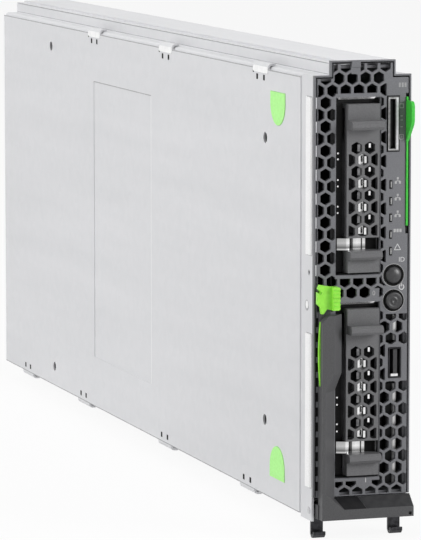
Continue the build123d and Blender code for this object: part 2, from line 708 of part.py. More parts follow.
with BuildPart() as lever_latch:
    with BuildSketch(front_plane(LATCH_BACK)):
        Polygon(
            (ARM_X0 - HORN, LATCH_HIGH + HORN),
            (LATCH_X1 - GRIP_WIDTH, LATCH_HIGH),
            (LATCH_X1 - GRIP_WIDTH, LATCH_LOW),
            (PIVOT_X + FIT_GAP, LATCH_LOW + SHEET / 2),
            (ARM_X0 + SHEET, LATCH_TAIL),
            (ARM_X0, LATCH_TAIL),
            (ARM_X0 - SHEET / 2, LATCH_LOW + BEND),
            (LATCH_X0, LATCH_LOW + 2 * BEND),
            (LATCH_X0, LATCH_HIGH - BEND),
            align=None,
        )
        with Locations(Location((LATCH_X0, LATCH_HIGH - BEND, 0), -42)):
            Rectangle(GRIP_WIDTH + BEND, FLEX_SLOT, mode=Mode.SUBTRACT)
    extrude(amount=LATCH_PLATE)
    with BuildSketch(front_plane(LATCH_BACK)):
        span(LATCH_X1 - GRIP_WIDTH, LATCH_X1, LATCH_LOW, LATCH_HIGH)
    extrude(amount=LATCH_BACK - LATCH_FRONT)
    grip_corners = lever_latch.edges().filter_by(Axis.Y).sort_by(Axis.X)[-2:]
    fillet(grip_corners, SHEET)
    # Ribs: grooves across the grip
    rib_pitch = (LATCH_HIGH - LATCH_LOW) / (GRIP_RIBS + 1)
    with BuildSketch(front_plane(LATCH_FRONT)):
        for rib in range(GRIP_RIBS):
            low = LATCH_LOW + rib_pitch * (rib + 1) - rib_pitch / 4
            span(LATCH_X1 - GRIP_WIDTH, LATCH_X1, low, low + rib_pitch / 2)
    extrude(amount=-RIB_DEPTH, mode=Mode.SUBTRACT)
    with BuildSketch(front_plane(LATCH_BACK)):
        with Locations((PIVOT_X, PIVOT_H)):
            Circle(PIVOT_RADIUS + PIN_GAP)
    extrude(amount=PIVOT_REACH + SLIDE_GAP, mode=Mode.SUBTRACT)
    # Catch that enters the bezel's window beside the ear
    with BuildSketch(front_plane(RIM_DEPTH)):
        span(*CATCH_X, *CATCH_H)
    extrude(amount=RIM_DEPTH - LATCH_BACK)
finish(lever_latch, "lever_latch")

LEAF_LOW = 60.5
LEAF_HIGH = ARM_HIGH - TOP_CUT
LEAF_BULGE = 1.3
LEAF_BACK = LEVER_BACK - SHEET
LEAF_WIDTH = 3.0

with BuildPart() as latch_leaf:
    with BuildSketch(front_plane(LEAF_BACK)):
        with BuildLine():
            middle = (ARM_X0 - LEAF_BULGE, (LEAF_LOW + LEAF_HIGH) / 2)
            ThreePointArc((ARM_X0, LEAF_HIGH), middle, (ARM_X0, LEAF_LOW))
            Line((ARM_X0, LEAF_LOW), (ARM_X0, LEAF_HIGH))
        make_face()
    extrude(amount=LEAF_WIDTH)
finish(latch_leaf, "latch_leaf")

# Pull-out card and its guide

CARD_LENGTH = 60.0
CARD_NOSE = 0.5
TAB_SIDE = 0.3
CARD_TAB_HIGH = CARD_HIGH - 1.6
CARD_TAB_LOW = CARD_HIGH - 19.5
CARD_TAB_FULL = 9.5

with BuildPart() as id_card:
    with BuildSketch(side_plane(CARD_X0)):
        span(-CARD_NOSE, CARD_LENGTH, CARD_LOW, CARD_HIGH)
    extrude(amount=CARD_THICKNESS)
    with BuildSketch(side_plane(CARD_X0 - TAB_SIDE)):
        with BuildLine():
            FilletPolyline(
                (-CARD_NOSE, CARD_TAB_HIGH),
                (-FRONT_REACH, CARD_TAB_HIGH),
                (-FRONT_REACH, CARD_TAB_HIGH - CARD_TAB_FULL),
                (-CARD_NOSE, CARD_TAB_LOW),
                radius=[2.5, 5.0],
            )
            Line((-CARD_NOSE, CARD_TAB_LOW), (-CARD_NOSE, CARD_TAB_HIGH))
        make_face()
    extrude(amount=CARD_THICKNESS + 2 * TAB_SIDE)
finish(id_card, "id_card")

with BuildPart() as id_card_guide:
    with BuildSketch(front_plane(CARD_LENGTH + SLIDE_GAP)):
        span(GUIDE_X0, INNER, GUIDE_LOW, GUIDE_HIGH)
        span(
            CARD_X0 - SLIDE_GAP,
            CARD_X1 + SLIDE_GAP,
            CARD_LOW - SLIDE_GAP,
            CARD_HIGH + SLIDE_GAP,
            Mode.SUBTRACT,
        )
    extrude(amount=CARD_LENGTH - RIM_DEPTH)
finish(id_card_guide, "id_card_guide")

# Buttons, lights and sockets on the front panel board

BUTTON_BACK = RIM_DEPTH + SLIDE_GAP
BUTTON_REACH = BUTTON_BACK + BUTTON_FLANGE + BUTTON_TRAVEL + SHEET
SWITCH_FRONT = BUTTON_REACH + BUTTON_TRAVEL + SLIDE_GAP
SWITCH_SIZE = 6.0
FLANGE_HALF = BUTTON_RADIUS + BUTTON_RING + BUTTON_CATCH

for height, name in ((POWER_BUTTON, "power_button"), (ID_BUTTON, "id_button")):
    with BuildPart() as button:
        with BuildSketch(front_plane(BUTTON_BACK)):
            with Locations((BUTTON_X, height)):
                Circle(BUTTON_RADIUS)
        extrude(amount=BUTTON_BACK + BUTTON_DOME)
        chamfer(button.faces().sort_by(Axis.Y)[0].edges(), BUTTON_DOME - BUTTON_EDGE, BUTTON_RADIUS - BUTTON_CROWN)
        # Square flange that holds the button behind the bezel, and its post
        with BuildSketch(front_plane(BUTTON_BACK + BUTTON_FLANGE)):
            with Locations((BUTTON_X, height)):
                Rectangle(2 * FLANGE_HALF, 2 * FLANGE_HALF)
        extrude(amount=BUTTON_FLANGE)
        with BuildSketch(front_plane(BUTTON_REACH)):
            with Locations((BUTTON_X, height)):
                Rectangle(2 * BUTTON_STEM, 2 * BUTTON_STEM)
        extrude(amount=BUTTON_REACH - BUTTON_BACK - BUTTON_FLANGE)
    finish(button, name)

with BuildPart() as button_switches:
    with BuildSketch(front_plane(PANEL_DEPTH)):
        with Locations((BUTTON_X, ID_BUTTON), (BUTTON_X, POWER_BUTTON)):
            Rectangle(SWITCH_SIZE, SWITCH_SIZE)
    extrude(amount=PANEL_DEPTH - SWITCH_FRONT)
finish(button_switches, "button_switches")

with BuildPart() as status_lights:
    with BuildSketch(front_plane(PANEL_DEPTH)):
        for light in LIGHTS:
            with Locations((LIGHT_X, light)):
                Rectangle(LIGHT_WIDTH, LIGHT_HEIGHT)
    extrude(amount=PANEL_DEPTH + FIT_GAP)
finish(status_lights, "status_lights")

CAGE_X0 = BAY_X0 - 0.3 - SHEET
CAGE_X1 = BAY_X1 + 0.3 + SHEET
PANEL_X1 = GUIDE_X0 - ROUND_GAP
PANEL_LOW = USB_MIDDLE - USB_HEIGHT

with BuildPart() as front_panel_board:
    with BuildSketch(front_plane(PANEL_DEPTH + BOARD)):
        span(CAGE_X1, PANEL_X1, PANEL_LOW, CONSOLE_HIGH + SHEET)
    extrude(amount=BOARD)
finish(front_panel_board, "front_panel_board")

CONSOLE_PROUD = 0.6
CONSOLE_POCKET = 7.0
SLIT_X0 = CONSOLE_X0 + CONSOLE_FRAME
SLIT_X1 = SLIT_X0 + CONSOLE_SLIT
SLIT_LOW = CONSOLE_LOW + CONSOLE_FRAME
SLIT_HIGH = CONSOLE_HIGH - CONSOLE_FRAME

with BuildPart() as console_shell:
    with BuildSketch(front_plane(PANEL_DEPTH)):
        span(CONSOLE_X0, CONSOLE_X1, CONSOLE_LOW, CONSOLE_HIGH)
    extrude(amount=PANEL_DEPTH + CONSOLE_PROUD)
    with BuildSketch(front_plane(CONSOLE_POCKET)):
        span(SLIT_X0, SLIT_X1, SLIT_LOW, SLIT_HIGH)
    extrude(amount=CONSOLE_POCKET + CONSOLE_PROUD, mode=Mode.SUBTRACT)
finish(console_shell, "console_shell")

CONTACT_EDGE = 0.8

with BuildPart() as console_insert:
    with BuildSketch(front_plane(CONSOLE_POCKET)):
        span(
            SLIT_X0 + CONTACT_EDGE,
            SLIT_X1 - CONTACT_EDGE,
            SLIT_LOW + CONTACT_EDGE,
            SLIT_HIGH - CONTACT_EDGE,
        )
    extrude(amount=CONSOLE_POCKET - SHEET)
finish(console_insert, "console_insert")

USB_PROUD = 0.3
USB_TONGUE = 1.8
USB_POCKET = PANEL_DEPTH - USB_WALL

with BuildPart() as usb_shell:
    with BuildSketch(front_plane(PANEL_DEPTH)):
        with Locations((USB_X, USB_MIDDLE)):
            Rectangle(USB_WIDTH, USB_HEIGHT)
    extrude(amount=PANEL_DEPTH + USB_PROUD)
    with BuildSketch(front_plane(USB_POCKET)):
        with Locations((USB_X, USB_MIDDLE)):
            Rectangle(USB_WIDTH - 2 * USB_WALL, USB_HEIGHT - 2 * USB_WALL)
    extrude(amount=USB_POCKET + USB_PROUD, mode=Mode.SUBTRACT)
finish(usb_shell, "usb_shell")

with BuildPart() as usb_tongue:
    with BuildSketch(front_plane(USB_POCKET)):
        with Locations((USB_X + USB_WALL, USB_MIDDLE)):
            Rectangle(USB_TONGUE, USB_HEIGHT - 4 * USB_WALL)
    extrude(amount=USB_POCKET - USB_WALL)
finish(usb_tongue, "usb_tongue")

# Drive carriers with their drives, shields, pinch latches and folded springs

FACE_LOW = 15.4
FACE_STEP = 7.6
LEDGE_HEIGHT = 3.9
LEDGE_DROP = 11.1
LEDGE_REACH = 7.0
LATCH_LEDGE_REACH = 5.0
LATCH_LEDGE_LOW = 6.1
LATCH_TRAVEL = 3.5
BACK_PLATE = 1.8
BACK_HIGH = 16.7
CARRIER_EDGE = 0.2
STEM_WIDTH = 3.4
STEM_HEIGHT = 4.0
STEM_LOW = 2.7
FACE_CELLS_LOW = 16.2
FACE_CELLS_HIGH = 57.7
FACE_CELL_X = 0.25
FACE_CELL_H = 18.3
FACE_EDGE = 0.9
SHIELD_SHEET = 0.5
SHIELD_X = (-0.9, 2.9)
SHIELD_TONGUE = 1.0
SHIELD_HIGH = 61.3
DRIVE_COVER = 0.6
SPRING_SHEET = 0.35
SPRING_X = (-11.0, -6.3, -4.4, -3.8, 1.7)
SPRING_DEPTH = (2.5, 0.5, 2.1, 1.2, 1.2)
LEDGE_ROUND = 1.2

for bay, place in ((UPPER_BAY, "upper"), (LOWER_BAY, "lower")):
    low = bay + BAY_MARGIN_LOW
    high = low + CARRIER_HEIGHT
    with BuildSketch() as face_zone:
        span(CARRIER_X0 + FACE_EDGE, CARRIER_X1 - FACE_EDGE, low + FACE_CELLS_LOW, low + FACE_CELLS_HIGH)
    face_cells = honeycomb(face_zone.sketch, FACE_CELL_X, low + FACE_CELL_H)

    with BuildPart() as carrier:
        with BuildSketch(front_plane(CARRIER_FACE)):
            span(CARRIER_X0, CARRIER_X1, low + FACE_LOW, high)
        extrude(amount=CARRIER_FACE)
        with BuildSketch(front_plane(0)):
            span(CARRIER_X0 + CARRIER_EDGE, CARRIER_X1 - CARRIER_EDGE, high - FACE_STEP, high - CARRIER_EDGE)
        extrude(amount=SHEET)
        # Finger ledge at the top of the face
        with BuildSketch(front_plane(0)):
            ledge = high - LEDGE_DROP
            span(CARRIER_X0 + CARRIER_EDGE, CARRIER_X1 - CARRIER_EDGE, ledge, ledge + LEDGE_HEIGHT)
        extrude(amount=LEDGE_REACH)
        nose = carrier.edges().filter_by(Axis.X).group_by(Axis.Y)[0]
        chamfer(nose, LEDGE_ROUND)
        with BuildSketch(front_plane(CARRIER_FACE)):
            add(face_cells)
        extrude(amount=CARRIER_FACE, mode=Mode.SUBTRACT)
        # Back plate behind the latch, with the slot for its stem
        with BuildSketch(front_plane(CARRIER_FACE + BACK_PLATE)):
            span(CARRIER_X0, CARRIER_X1, low, low + BACK_HIGH)
        extrude(amount=BACK_PLATE)
        with BuildSketch(front_plane(CARRIER_FACE + BACK_PLATE)):
            span(
                FACE_CELL_X - STEM_WIDTH / 2 - SLIDE_GAP,
                FACE_CELL_X + STEM_WIDTH / 2 + SLIDE_GAP,
                low + STEM_LOW - SLIDE_GAP,
                low + STEM_LOW + STEM_HEIGHT + LATCH_TRAVEL + SLIDE_GAP,
            )
        extrude(amount=BACK_PLATE, mode=Mode.SUBTRACT)
        # Rails above and below the drive
        with BuildSketch(front_plane(DRIVE_FRONT + DRIVE_LENGTH)):
            span(CARRIER_X0, CARRIER_X1, low, low + CARRIER_RAIL)
            span(CARRIER_X0, CARRIER_X1, high - CARRIER_RAIL, high)
        extrude(amount=DRIVE_FRONT + DRIVE_LENGTH - CARRIER_FACE)
    finish(carrier, f"{place}_carrier")

    with BuildPart() as shield:
        # Upright strip with a long slot, on a head plate behind the face
        with BuildSketch(front_plane(CARRIER_FACE + SHIELD_SHEET)):
            span(*SHIELD_X, low + BACK_HIGH + SLIDE_GAP, low + SHIELD_HIGH)
            span(
                SHIELD_X[1] - SHIELD_TONGUE - SHIELD_SHEET,
                SHIELD_X[1] - SHIELD_TONGUE,
                low + BACK_HIGH,
                low + FACE_CELLS_HIGH,
                Mode.SUBTRACT,
            )
            span(CARRIER_X0 + FACE_EDGE, CARRIER_X1 - FACE_EDGE, low + FACE_CELLS_HIGH + SLIDE_GAP, low + SHIELD_HIGH)
        extrude(amount=SHIELD_SHEET)
    finish(shield, f"{place}_shield")

    with BuildPart() as drive:
        drive_low = low + CARRIER_RAIL + DRIVE_GAP
        drive_x0 = CARRIER_X0 + CARRIER_WALL
        with BuildSketch(front_plane(DRIVE_FRONT + DRIVE_LENGTH)):
            span(drive_x0, drive_x0 + DRIVE_THICKNESS, drive_low, drive_low + DRIVE_WIDTH)
        extrude(amount=DRIVE_LENGTH)
        chamfer(drive.edges().filter_by(Axis.X), BEND)
        with BuildSketch(side_plane(drive_x0)):
            span(
                DRIVE_FRONT + 2 * BEND,
                DRIVE_FRONT + DRIVE_LENGTH - 4 * BEND,
                drive_low + 2 * BEND,
                drive_low + DRIVE_WIDTH - 2 * BEND,
            )
        extrude(amount=DRIVE_COVER, mode=Mode.SUBTRACT)
    finish(drive, f"{place}_drive")

    with BuildPart() as carrier_latch:
        latch_back = CARRIER_FACE - SLIDE_GAP
        latch_x = (CARRIER_X0 + CARRIER_EDGE, CARRIER_X1 - CARRIER_EDGE)
        ledge_low = low + LATCH_LEDGE_LOW
        with BuildSketch(front_plane(latch_back)):
            span(*latch_x, low + CARRIER_EDGE, ledge_low + LEDGE_HEIGHT)
        extrude(amount=latch_back + SHEET)
        with BuildSketch(front_plane(0)):
            span(*latch_x, ledge_low, ledge_low + LEDGE_HEIGHT)
        extrude(amount=LATCH_LEDGE_REACH)
        nose = carrier_latch.edges().filter_by(Axis.X).group_by(Axis.Y)[0]
        chamfer(nose, LEDGE_ROUND)
        with BuildSketch(front_plane(CARRIER_FACE + BACK_PLATE + SHEET)):
            span(
                FACE_CELL_X - STEM_WIDTH / 2,
                FACE_CELL_X + STEM_WIDTH / 2,
                low + STEM_LOW,
                low + STEM_LOW + STEM_HEIGHT,
            )
        extrude(amount=BACK_PLATE + SHEET + 2 * SLIDE_GAP)
    finish(carrier_latch, f"{place}_carrier_latch")

    with BuildPart() as latch_spring:
        # Strip with upright folds, between the latch's ledge and the face
        foot = ledge_low + LEDGE_HEIGHT + FIT_GAP
        crown = low + FACE_LOW - FIT_GAP
        with BuildSketch(level_plane(foot)):
            with BuildLine():
                Polyline(*zip(SPRING_X, SPRING_DEPTH))
                offset(amount=SPRING_SHEET, side=Side.LEFT, kind=Kind.INTERSECTION)
            make_face()
        extrude(amount=crown - foot)
    finish(latch_spring, f"{place}_latch_spring")

# Drive cage, guides, backplane and drive connectors

GUIDE_FACE = 5.0
GUIDE_STRIP = 2.0
GUIDE_RUNNER = 4.0
CAGE_SHELF = 0.3
WINDOW_EDGE = 14.0
CAGE_FOOT = BRACKET_REAR + SHEET

with BuildPart() as drive_cage:
    with BuildSketch(front_plane(BACKPLANE)):
        span(CAGE_X0, CAGE_X1, LOWER_BAY - SHEET, UPPER_BAY + BAY_HEIGHT)
        for bay in (LOWER_BAY, UPPER_BAY):
            floor = bay + BAY_MARGIN_LOW - CAGE_SHELF
            roof = bay + BAY_MARGIN_LOW + CARRIER_HEIGHT + CAGE_SHELF
            span(CAGE_X0 + SHEET, CAGE_X1 - SHEET, floor, roof, Mode.SUBTRACT)
        span(
            CAGE_X0 + SHEET,
            CAGE_X1 - SHEET,
            LOWER_BAY + BAY_HEIGHT,
            UPPER_BAY - SHEET,
            Mode.SUBTRACT,
        )
    extrude(amount=BACKPLANE - CAGE_FRONT)
    # Feet that carry the cage on the case's bottom
    with BuildSketch(front_plane(BACKPLANE)):
        span(CAGE_X0, CAGE_X0 + SHEET, SHEET, LOWER_BAY)
        span(CAGE_X1 - SHEET, CAGE_X1, SHEET, LOWER_BAY)
    extrude(amount=BACKPLANE - CAGE_FOOT)
    # Air windows in both walls
    with BuildSketch(side_plane(CAGE_X0)):
        for bay in (LOWER_BAY, UPPER_BAY):
            span(
                CAGE_FRONT + 2 * WINDOW_EDGE,
                BACKPLANE - WINDOW_EDGE,
                bay + WINDOW_EDGE,
                bay + BAY_HEIGHT - WINDOW_EDGE,
            )
    extrude(amount=CAGE_X1 - CAGE_X0, mode=Mode.SUBTRACT)
finish(drive_cage, "drive_cage")

# Folded steel baffle beside the cage, behind the honeycomb under the buttons

BAFFLE_SHEET = 0.8
BAFFLE_FRONT = 4.2
BAFFLE_BACK = PANEL_DEPTH - SLIDE_GAP
BAFFLE_X = (CAGE_X1 + 4.0, CAGE_X1 + 6.2)
BAFFLE_LOW = LOWER_BAY - 4.0
BAFFLE_HIGH = PLAIN_LOW - SLIDE_GAP
BAFFLE_CLEAR = 3.0

with BuildPart() as front_baffle:
    with BuildSketch(level_plane(BAFFLE_LOW)):
        with BuildLine():
            Polyline(
                (CAGE_X1, BAFFLE_FRONT),
                (CAGE_X1, BAFFLE_BACK),
                (BAFFLE_X[0], BAFFLE_BACK),
                (BAFFLE_X[0], BAFFLE_FRONT),
                (BAFFLE_X[1], BAFFLE_FRONT),
            )
            offset(amount=BAFFLE_SHEET, side=Side.RIGHT, kind=Kind.INTERSECTION)
        make_face()
    extrude(amount=BAFFLE_HIGH - BAFFLE_LOW)
    with BuildSketch(front_plane(PANEL_DEPTH)):
        clear = USB_HEIGHT / 2 + BAFFLE_CLEAR
        span(CAGE_X1, HALF_WIDTH, USB_MIDDLE - clear, USB_MIDDLE + clear)
    extrude(amount=PANEL_DEPTH, mode=Mode.SUBTRACT)
finish(front_baffle, "front_baffle")

with BuildPart() as drive_guides:
    for bay in (LOWER_BAY, UPPER_BAY):
        guide_low = bay + BAY_MARGIN_LOW
        guide_high = guide_low + CARRIER_HEIGHT
        guide_x = (CAGE_X0 + SHEET, CARRIER_X0 - ROUND_GAP)
        with BuildSketch(front_plane(GUIDE_FACE + GUIDE_STRIP)):
            span(*guide_x, guide_low, guide_high)
        extrude(amount=GUIDE_STRIP)
        with BuildSketch(front_plane(BACKPLANE)):
            span(*guide_x, guide_low, guide_low + GUIDE_RUNNER)
            span(*guide_x, guide_high - GUIDE_RUNNER, guide_high)
        extrude(amount=BACKPLANE - GUIDE_FACE - GUIDE_STRIP)
finish(drive_guides, "drive_guides")

with BuildPart() as drive_backplane:
    with BuildSketch(front_plane(BACKPLANE + BOARD)):
        span(CAGE_X0, CAGE_X1, LOWER_BAY - SHEET, UPPER_BAY + BAY_HEIGHT)
        span(
            CAGE_X0 + 4 * SHEET,
            CAGE_X1 - 4 * SHEET,
            LOWER_BAY + BAY_HEIGHT,
            UPPER_BAY - SHEET,
            Mode.SUBTRACT,
        )
    extrude(amount=BOARD)
finish(drive_backplane, "drive_backplane")

DRIVE_PLUG_WIDTH = 6.0
DRIVE_PLUG_HEIGHT = 42.0

with BuildPart() as drive_connectors:
    with BuildSketch(front_plane(BACKPLANE)):
        for bay in (LOWER_BAY, UPPER_BAY):
            with Locations((FACE_CELL_X, bay + BAY_HEIGHT / 2)):
                Rectangle(DRIVE_PLUG_WIDTH, DRIVE_PLUG_HEIGHT)
    extrude(amount=DRIVE_CONNECTOR)
finish(drive_connectors, "drive_connectors")

# System board and what stands on it, counted from the board's left face

STANDOFF = 3.5
STANDOFF_RADIUS = 3.0
BOARD_EDGE = 4.0
BOARD_X1 = INNER - STANDOFF
BOARD_X0 = BOARD_X1 - BOARD
BOARD_LOW = SHEET + 2 * BOARD_EDGE
BOARD_HIGH = BODY_HEIGHT - 2 * BOARD_EDGE
SCREW_HEAD = 1.6
BOARD_MIDDLE = (BOARD_LOW + BOARD_HIGH) / 2
FRONT_BANK = BOARD_FRONT + BANK_MARGIN
REAR_BANK = FRONT_BANK + SLOT_LENGTH + BANK_GAP
REAR_START = REAR_BANK + SLOT_LENGTH
BANKS = (FRONT_BANK + SLOT_LENGTH / 2, REAR_BANK + SLOT_LENGTH / 2)
FIXINGS = [
    (depth, height)
    for depth in (BOARD_FRONT + BOARD_EDGE, REAR_BANK - BANK_GAP / 2, BOARD_REAR - BANK_MARGIN - BOARD_EDGE)
    for height in (BOARD_LOW + BOARD_EDGE, BOARD_HIGH - BOARD_EDGE)
]

with BuildPart() as system_board:
    with BuildSketch(side_plane(BOARD_X0)):
        span(BOARD_FRONT, BOARD_REAR, BOARD_LOW, BOARD_HIGH)
    extrude(amount=BOARD)
finish(system_board, "system_board")

with BuildPart() as board_standoffs:
    with BuildSketch(side_plane(BOARD_X1)):
        with Locations(*FIXINGS):
            RegularPolygon(STANDOFF_RADIUS, 6)
    extrude(amount=STANDOFF)
finish(board_standoffs, "board_standoffs")

with BuildPart() as board_screws:
    with BuildSketch(side_plane(BOARD_X0 - SCREW_HEAD)):
        with Locations(*FIXINGS):
            RegularPolygon(STANDOFF_RADIUS - SHEET / 2, 6)
    extrude(amount=SCREW_HEAD)
finish(board_screws, "board_screws")

SOCKET = (58.0, 56.0, 4.0)
PROCESSOR = (45.0, 42.5, 3.5)
SINK_BASE = (90.0, 76.0, 4.0)
SINK_REACH = 24.0
FIN_SHEET = 0.8
FIN_COUNT = 16
SOCKET_X = BOARD_X0 - SOCKET[2]
PROCESSOR_X = SOCKET_X - PROCESSOR[2]
SINK_X = PROCESSOR_X - SINK_BASE[2]

with BuildPart() as processor_sockets:
    with BuildSketch(side_plane(SOCKET_X)):
        with Locations(*[(bank, BOARD_MIDDLE) for bank in BANKS]):
            Rectangle(SOCKET[0], SOCKET[1])
    extrude(amount=SOCKET[2])
finish(processor_sockets, "processor_sockets")

with BuildPart() as processors:
    with BuildSketch(side_plane(PROCESSOR_X)):
        with Locations(*[(bank, BOARD_MIDDLE) for bank in BANKS]):
            Rectangle(PROCESSOR[0], PROCESSOR[1])
    extrude(amount=PROCESSOR[2])
finish(processors, "processors")

for bank, name in zip(BANKS, ("heatsink_front", "heatsink_rear")):
    with BuildPart() as heatsink:
        with BuildSketch(side_plane(SINK_X)):
            with Locations((bank, BOARD_MIDDLE)):
                Rectangle(SINK_BASE[0], SINK_BASE[1])
        extrude(amount=SINK_BASE[2])
        fin_pitch = (SINK_BASE[1] - FIN_SHEET) / (FIN_COUNT - 1)
        with BuildSketch(front_plane(bank + SINK_BASE[0] / 2)):
            for fin in range(FIN_COUNT):
                fin_low = BOARD_MIDDLE - SINK_BASE[1] / 2 + fin_pitch * fin
                span(SINK_X - SINK_REACH, SINK_X, fin_low, fin_low + FIN_SHEET)
        extrude(amount=SINK_BASE[0])
    finish(heatsink, name)

MODULE_LENGTH = SLOT_LENGTH - 6.6
MODULE_SHEET = 1.3
MODULE_REACH = 28.0
SLOT_BODY = 7.0
SLOT_REACH = 6.0
SLOT_GROOVE = 2.0
ROW_PITCH = 10.0
ROWS_PER_SIDE = 4
SINK_CLEAR = 7.0
MODULE_ROWS = [
    BOARD_MIDDLE + side * (SINK_BASE[1] / 2 + SINK_CLEAR + ROW_PITCH * row)
    for side in (-1, 1)
    for row in range(ROWS_PER_SIDE)
]

with BuildPart() as memory_sockets:
    with BuildSketch(side_plane(BOARD_X0 - SLOT_REACH)):
        for bank in BANKS:
            with Locations(*[(bank, row) for row in MODULE_ROWS]):
                Rectangle(SLOT_LENGTH, SLOT_BODY)
    extrude(amount=SLOT_REACH)
    with BuildSketch(side_plane(BOARD_X0 - SLOT_REACH)):
        for bank in BANKS:
            with Locations(*[(bank, row) for row in MODULE_ROWS]):
                Rectangle(MODULE_LENGTH + 2 * FIT_GAP, MODULE_SHEET + 2 * FIT_GAP)
    extrude(amount=SLOT_GROOVE, mode=Mode.SUBTRACT)
finish(memory_sockets, "memory_sockets")

with BuildPart() as memory_modules:
    with BuildSketch(side_plane(BOARD_X0 - SLOT_REACH + SLOT_GROOVE - MODULE_REACH)):
        for bank in BANKS:
            with Locations(*[(bank, row) for row in MODULE_ROWS]):
                Rectangle(MODULE_LENGTH, MODULE_SHEET)
    extrude(amount=MODULE_REACH)
finish(memory_modules, "memory_modules")

CHOKE = (9.0, 9.0, 7.0)
CHOKE_COUNT = 5

with BuildPart() as power_chokes:
    with BuildSketch(side_plane(BOARD_X0 - CHOKE[2])):
        with Locations((BOARD_FRONT + BANK_MARGIN / 2, BOARD_MIDDLE)):
            with GridLocations(0, CHOKE[1] + 3 * SHEET, 1, CHOKE_COUNT):
                Rectangle(CHOKE[0], CHOKE[1])
    extrude(amount=CHOKE[2])
finish(power_chokes, "power_chokes")

CHIP_SINK = (34.0, 34.0, 3.0)
CHIP_FINS = 7
CHIP_REACH = 9.0
CHIP_DEPTH = REAR_START + 26.0
CHIP_SINK_X = BOARD_X0 - CHIP_SINK[2]

with BuildPart() as chip_heatsink:
    with BuildSketch(side_plane(CHIP_SINK_X)):
        with Locations((CHIP_DEPTH, BOARD_MIDDLE)):
            Rectangle(CHIP_SINK[0], CHIP_SINK[1])
    extrude(amount=CHIP_SINK[2])
    chip_pitch = (CHIP_SINK[1] - FIN_SHEET) / (CHIP_FINS - 1)
    with BuildSketch(front_plane(CHIP_DEPTH + CHIP_SINK[0] / 2)):
        for fin in range(CHIP_FINS):
            fin_low = BOARD_MIDDLE - CHIP_SINK[1] / 2 + chip_pitch * fin
            span(CHIP_SINK_X - CHIP_REACH, CHIP_SINK_X, fin_low, fin_low + FIN_SHEET)
    extrude(amount=CHIP_SINK[0])
finish(chip_heatsink, "chip_heatsink")

CELL_RADIUS = 10.0
CELL_SHEET = 3.2
HOLDER_WALL = 1.5
HOLDER_BASE = 1.0
CELL_PLACE = (REAR_START + CELL_RADIUS + 4.0, BOARD_LOW + CELL_RADIUS + 3.0)

with BuildPart() as coin_cell_holder:
    with BuildSketch(side_plane(BOARD_X0 - HOLDER_BASE - CELL_SHEET)):
        with Locations(CELL_PLACE):
            Rectangle(2 * (CELL_RADIUS + HOLDER_WALL), 2 * (CELL_RADIUS + HOLDER_WALL))
    extrude(amount=HOLDER_BASE + CELL_SHEET)
    with BuildSketch(side_plane(BOARD_X0 - HOLDER_BASE - CELL_SHEET)):
        with Locations(CELL_PLACE):
            Rectangle(2 * (CELL_RADIUS + FIT_GAP), 2 * (CELL_RADIUS + FIT_GAP))
    extrude(amount=CELL_SHEET, mode=Mode.SUBTRACT)
finish(coin_cell_holder, "coin_cell_holder")

with BuildPart() as coin_cell:
    with BuildSketch(side_plane(BOARD_X0 - HOLDER_BASE - CELL_SHEET)):
        with Locations(CELL_PLACE):
            Circle(CELL_RADIUS)
    extrude(amount=CELL_SHEET)
finish(coin_cell, "coin_cell")

MEZZANINE = (42.0, 58.0)
MEZZANINE_GAP = 10.0
MEZZANINE_PLUG = (24.0, 6.0)
MEZZANINE_DEPTH = REAR_START + 3.0 + MEZZANINE[0] / 2
MEZZANINE_HIGH = BOARD_HIGH - 2 * BOARD_EDGE - MEZZANINE[1] / 2
MEZZANINE_LOW = 2 * BOARD_MIDDLE - MEZZANINE_HIGH
MEZZANINE_X = BOARD_X0 - MEZZANINE_GAP - BOARD
MEZZANINES = ((MEZZANINE_HIGH, "mezzanine_upper"), (MEZZANINE_LOW, "mezzanine_lower"))

for height, name in MEZZANINES:
    with BuildPart() as mezzanine:
        with BuildSketch(side_plane(MEZZANINE_X)):
            with Locations((MEZZANINE_DEPTH, height)):
                Rectangle(*MEZZANINE)
        extrude(amount=BOARD)
    finish(mezzanine, name)

with BuildPart() as mezzanine_connectors:
    with BuildSketch(side_plane(BOARD_X0 - MEZZANINE_GAP)):
        with Locations(*[(MEZZANINE_DEPTH + MEZZANINE[0] / 4, height) for height, _ in MEZZANINES]):
            Rectangle(MEZZANINE_PLUG[1], MEZZANINE_PLUG[0])
    extrude(amount=MEZZANINE_GAP)
finish(mezzanine_connectors, "mezzanine_connectors")

# Rear frame with the connectors that plug into the backplane of the bay

REAR_SHEET = 1.0
REAR_PLATE = BODY_DEPTH - SHEET
PLUG_FRONT = BODY_DEPTH - 19.0
PLUG_X0 = BOARD_X0 - 13.0
SIGNAL_PLUG = 48.0
SIGNAL_STEP = 16.0
POWER_PLUG = 24.0
PLUG_CLEAR = 0.4
SOCKET_BLOCK = 14.0
SOCKET_BORE = 3.05
SOCKET_NOTCH = 5.0
SOCKET_X0 = LIP_X + SHEET + 4.0 + SOCKET_BLOCK / 2
SOCKET_HEIGHTS = (BOARD_MIDDLE - 68.0, BOARD_MIDDLE + 68.0)
SIGNAL_MIDDLES = [BOARD_MIDDLE + side * (POWER_PLUG / 2 + SIGNAL_STEP + SIGNAL_PLUG / 2) for side in (-1, 1)]
VENT_X = (SOCKET_X0 - 4.0, PLUG_X0 - 4.0)
VENT_ROWS = 5
VENT_PITCH = 20.0
VENT_HEIGHT = 12.0

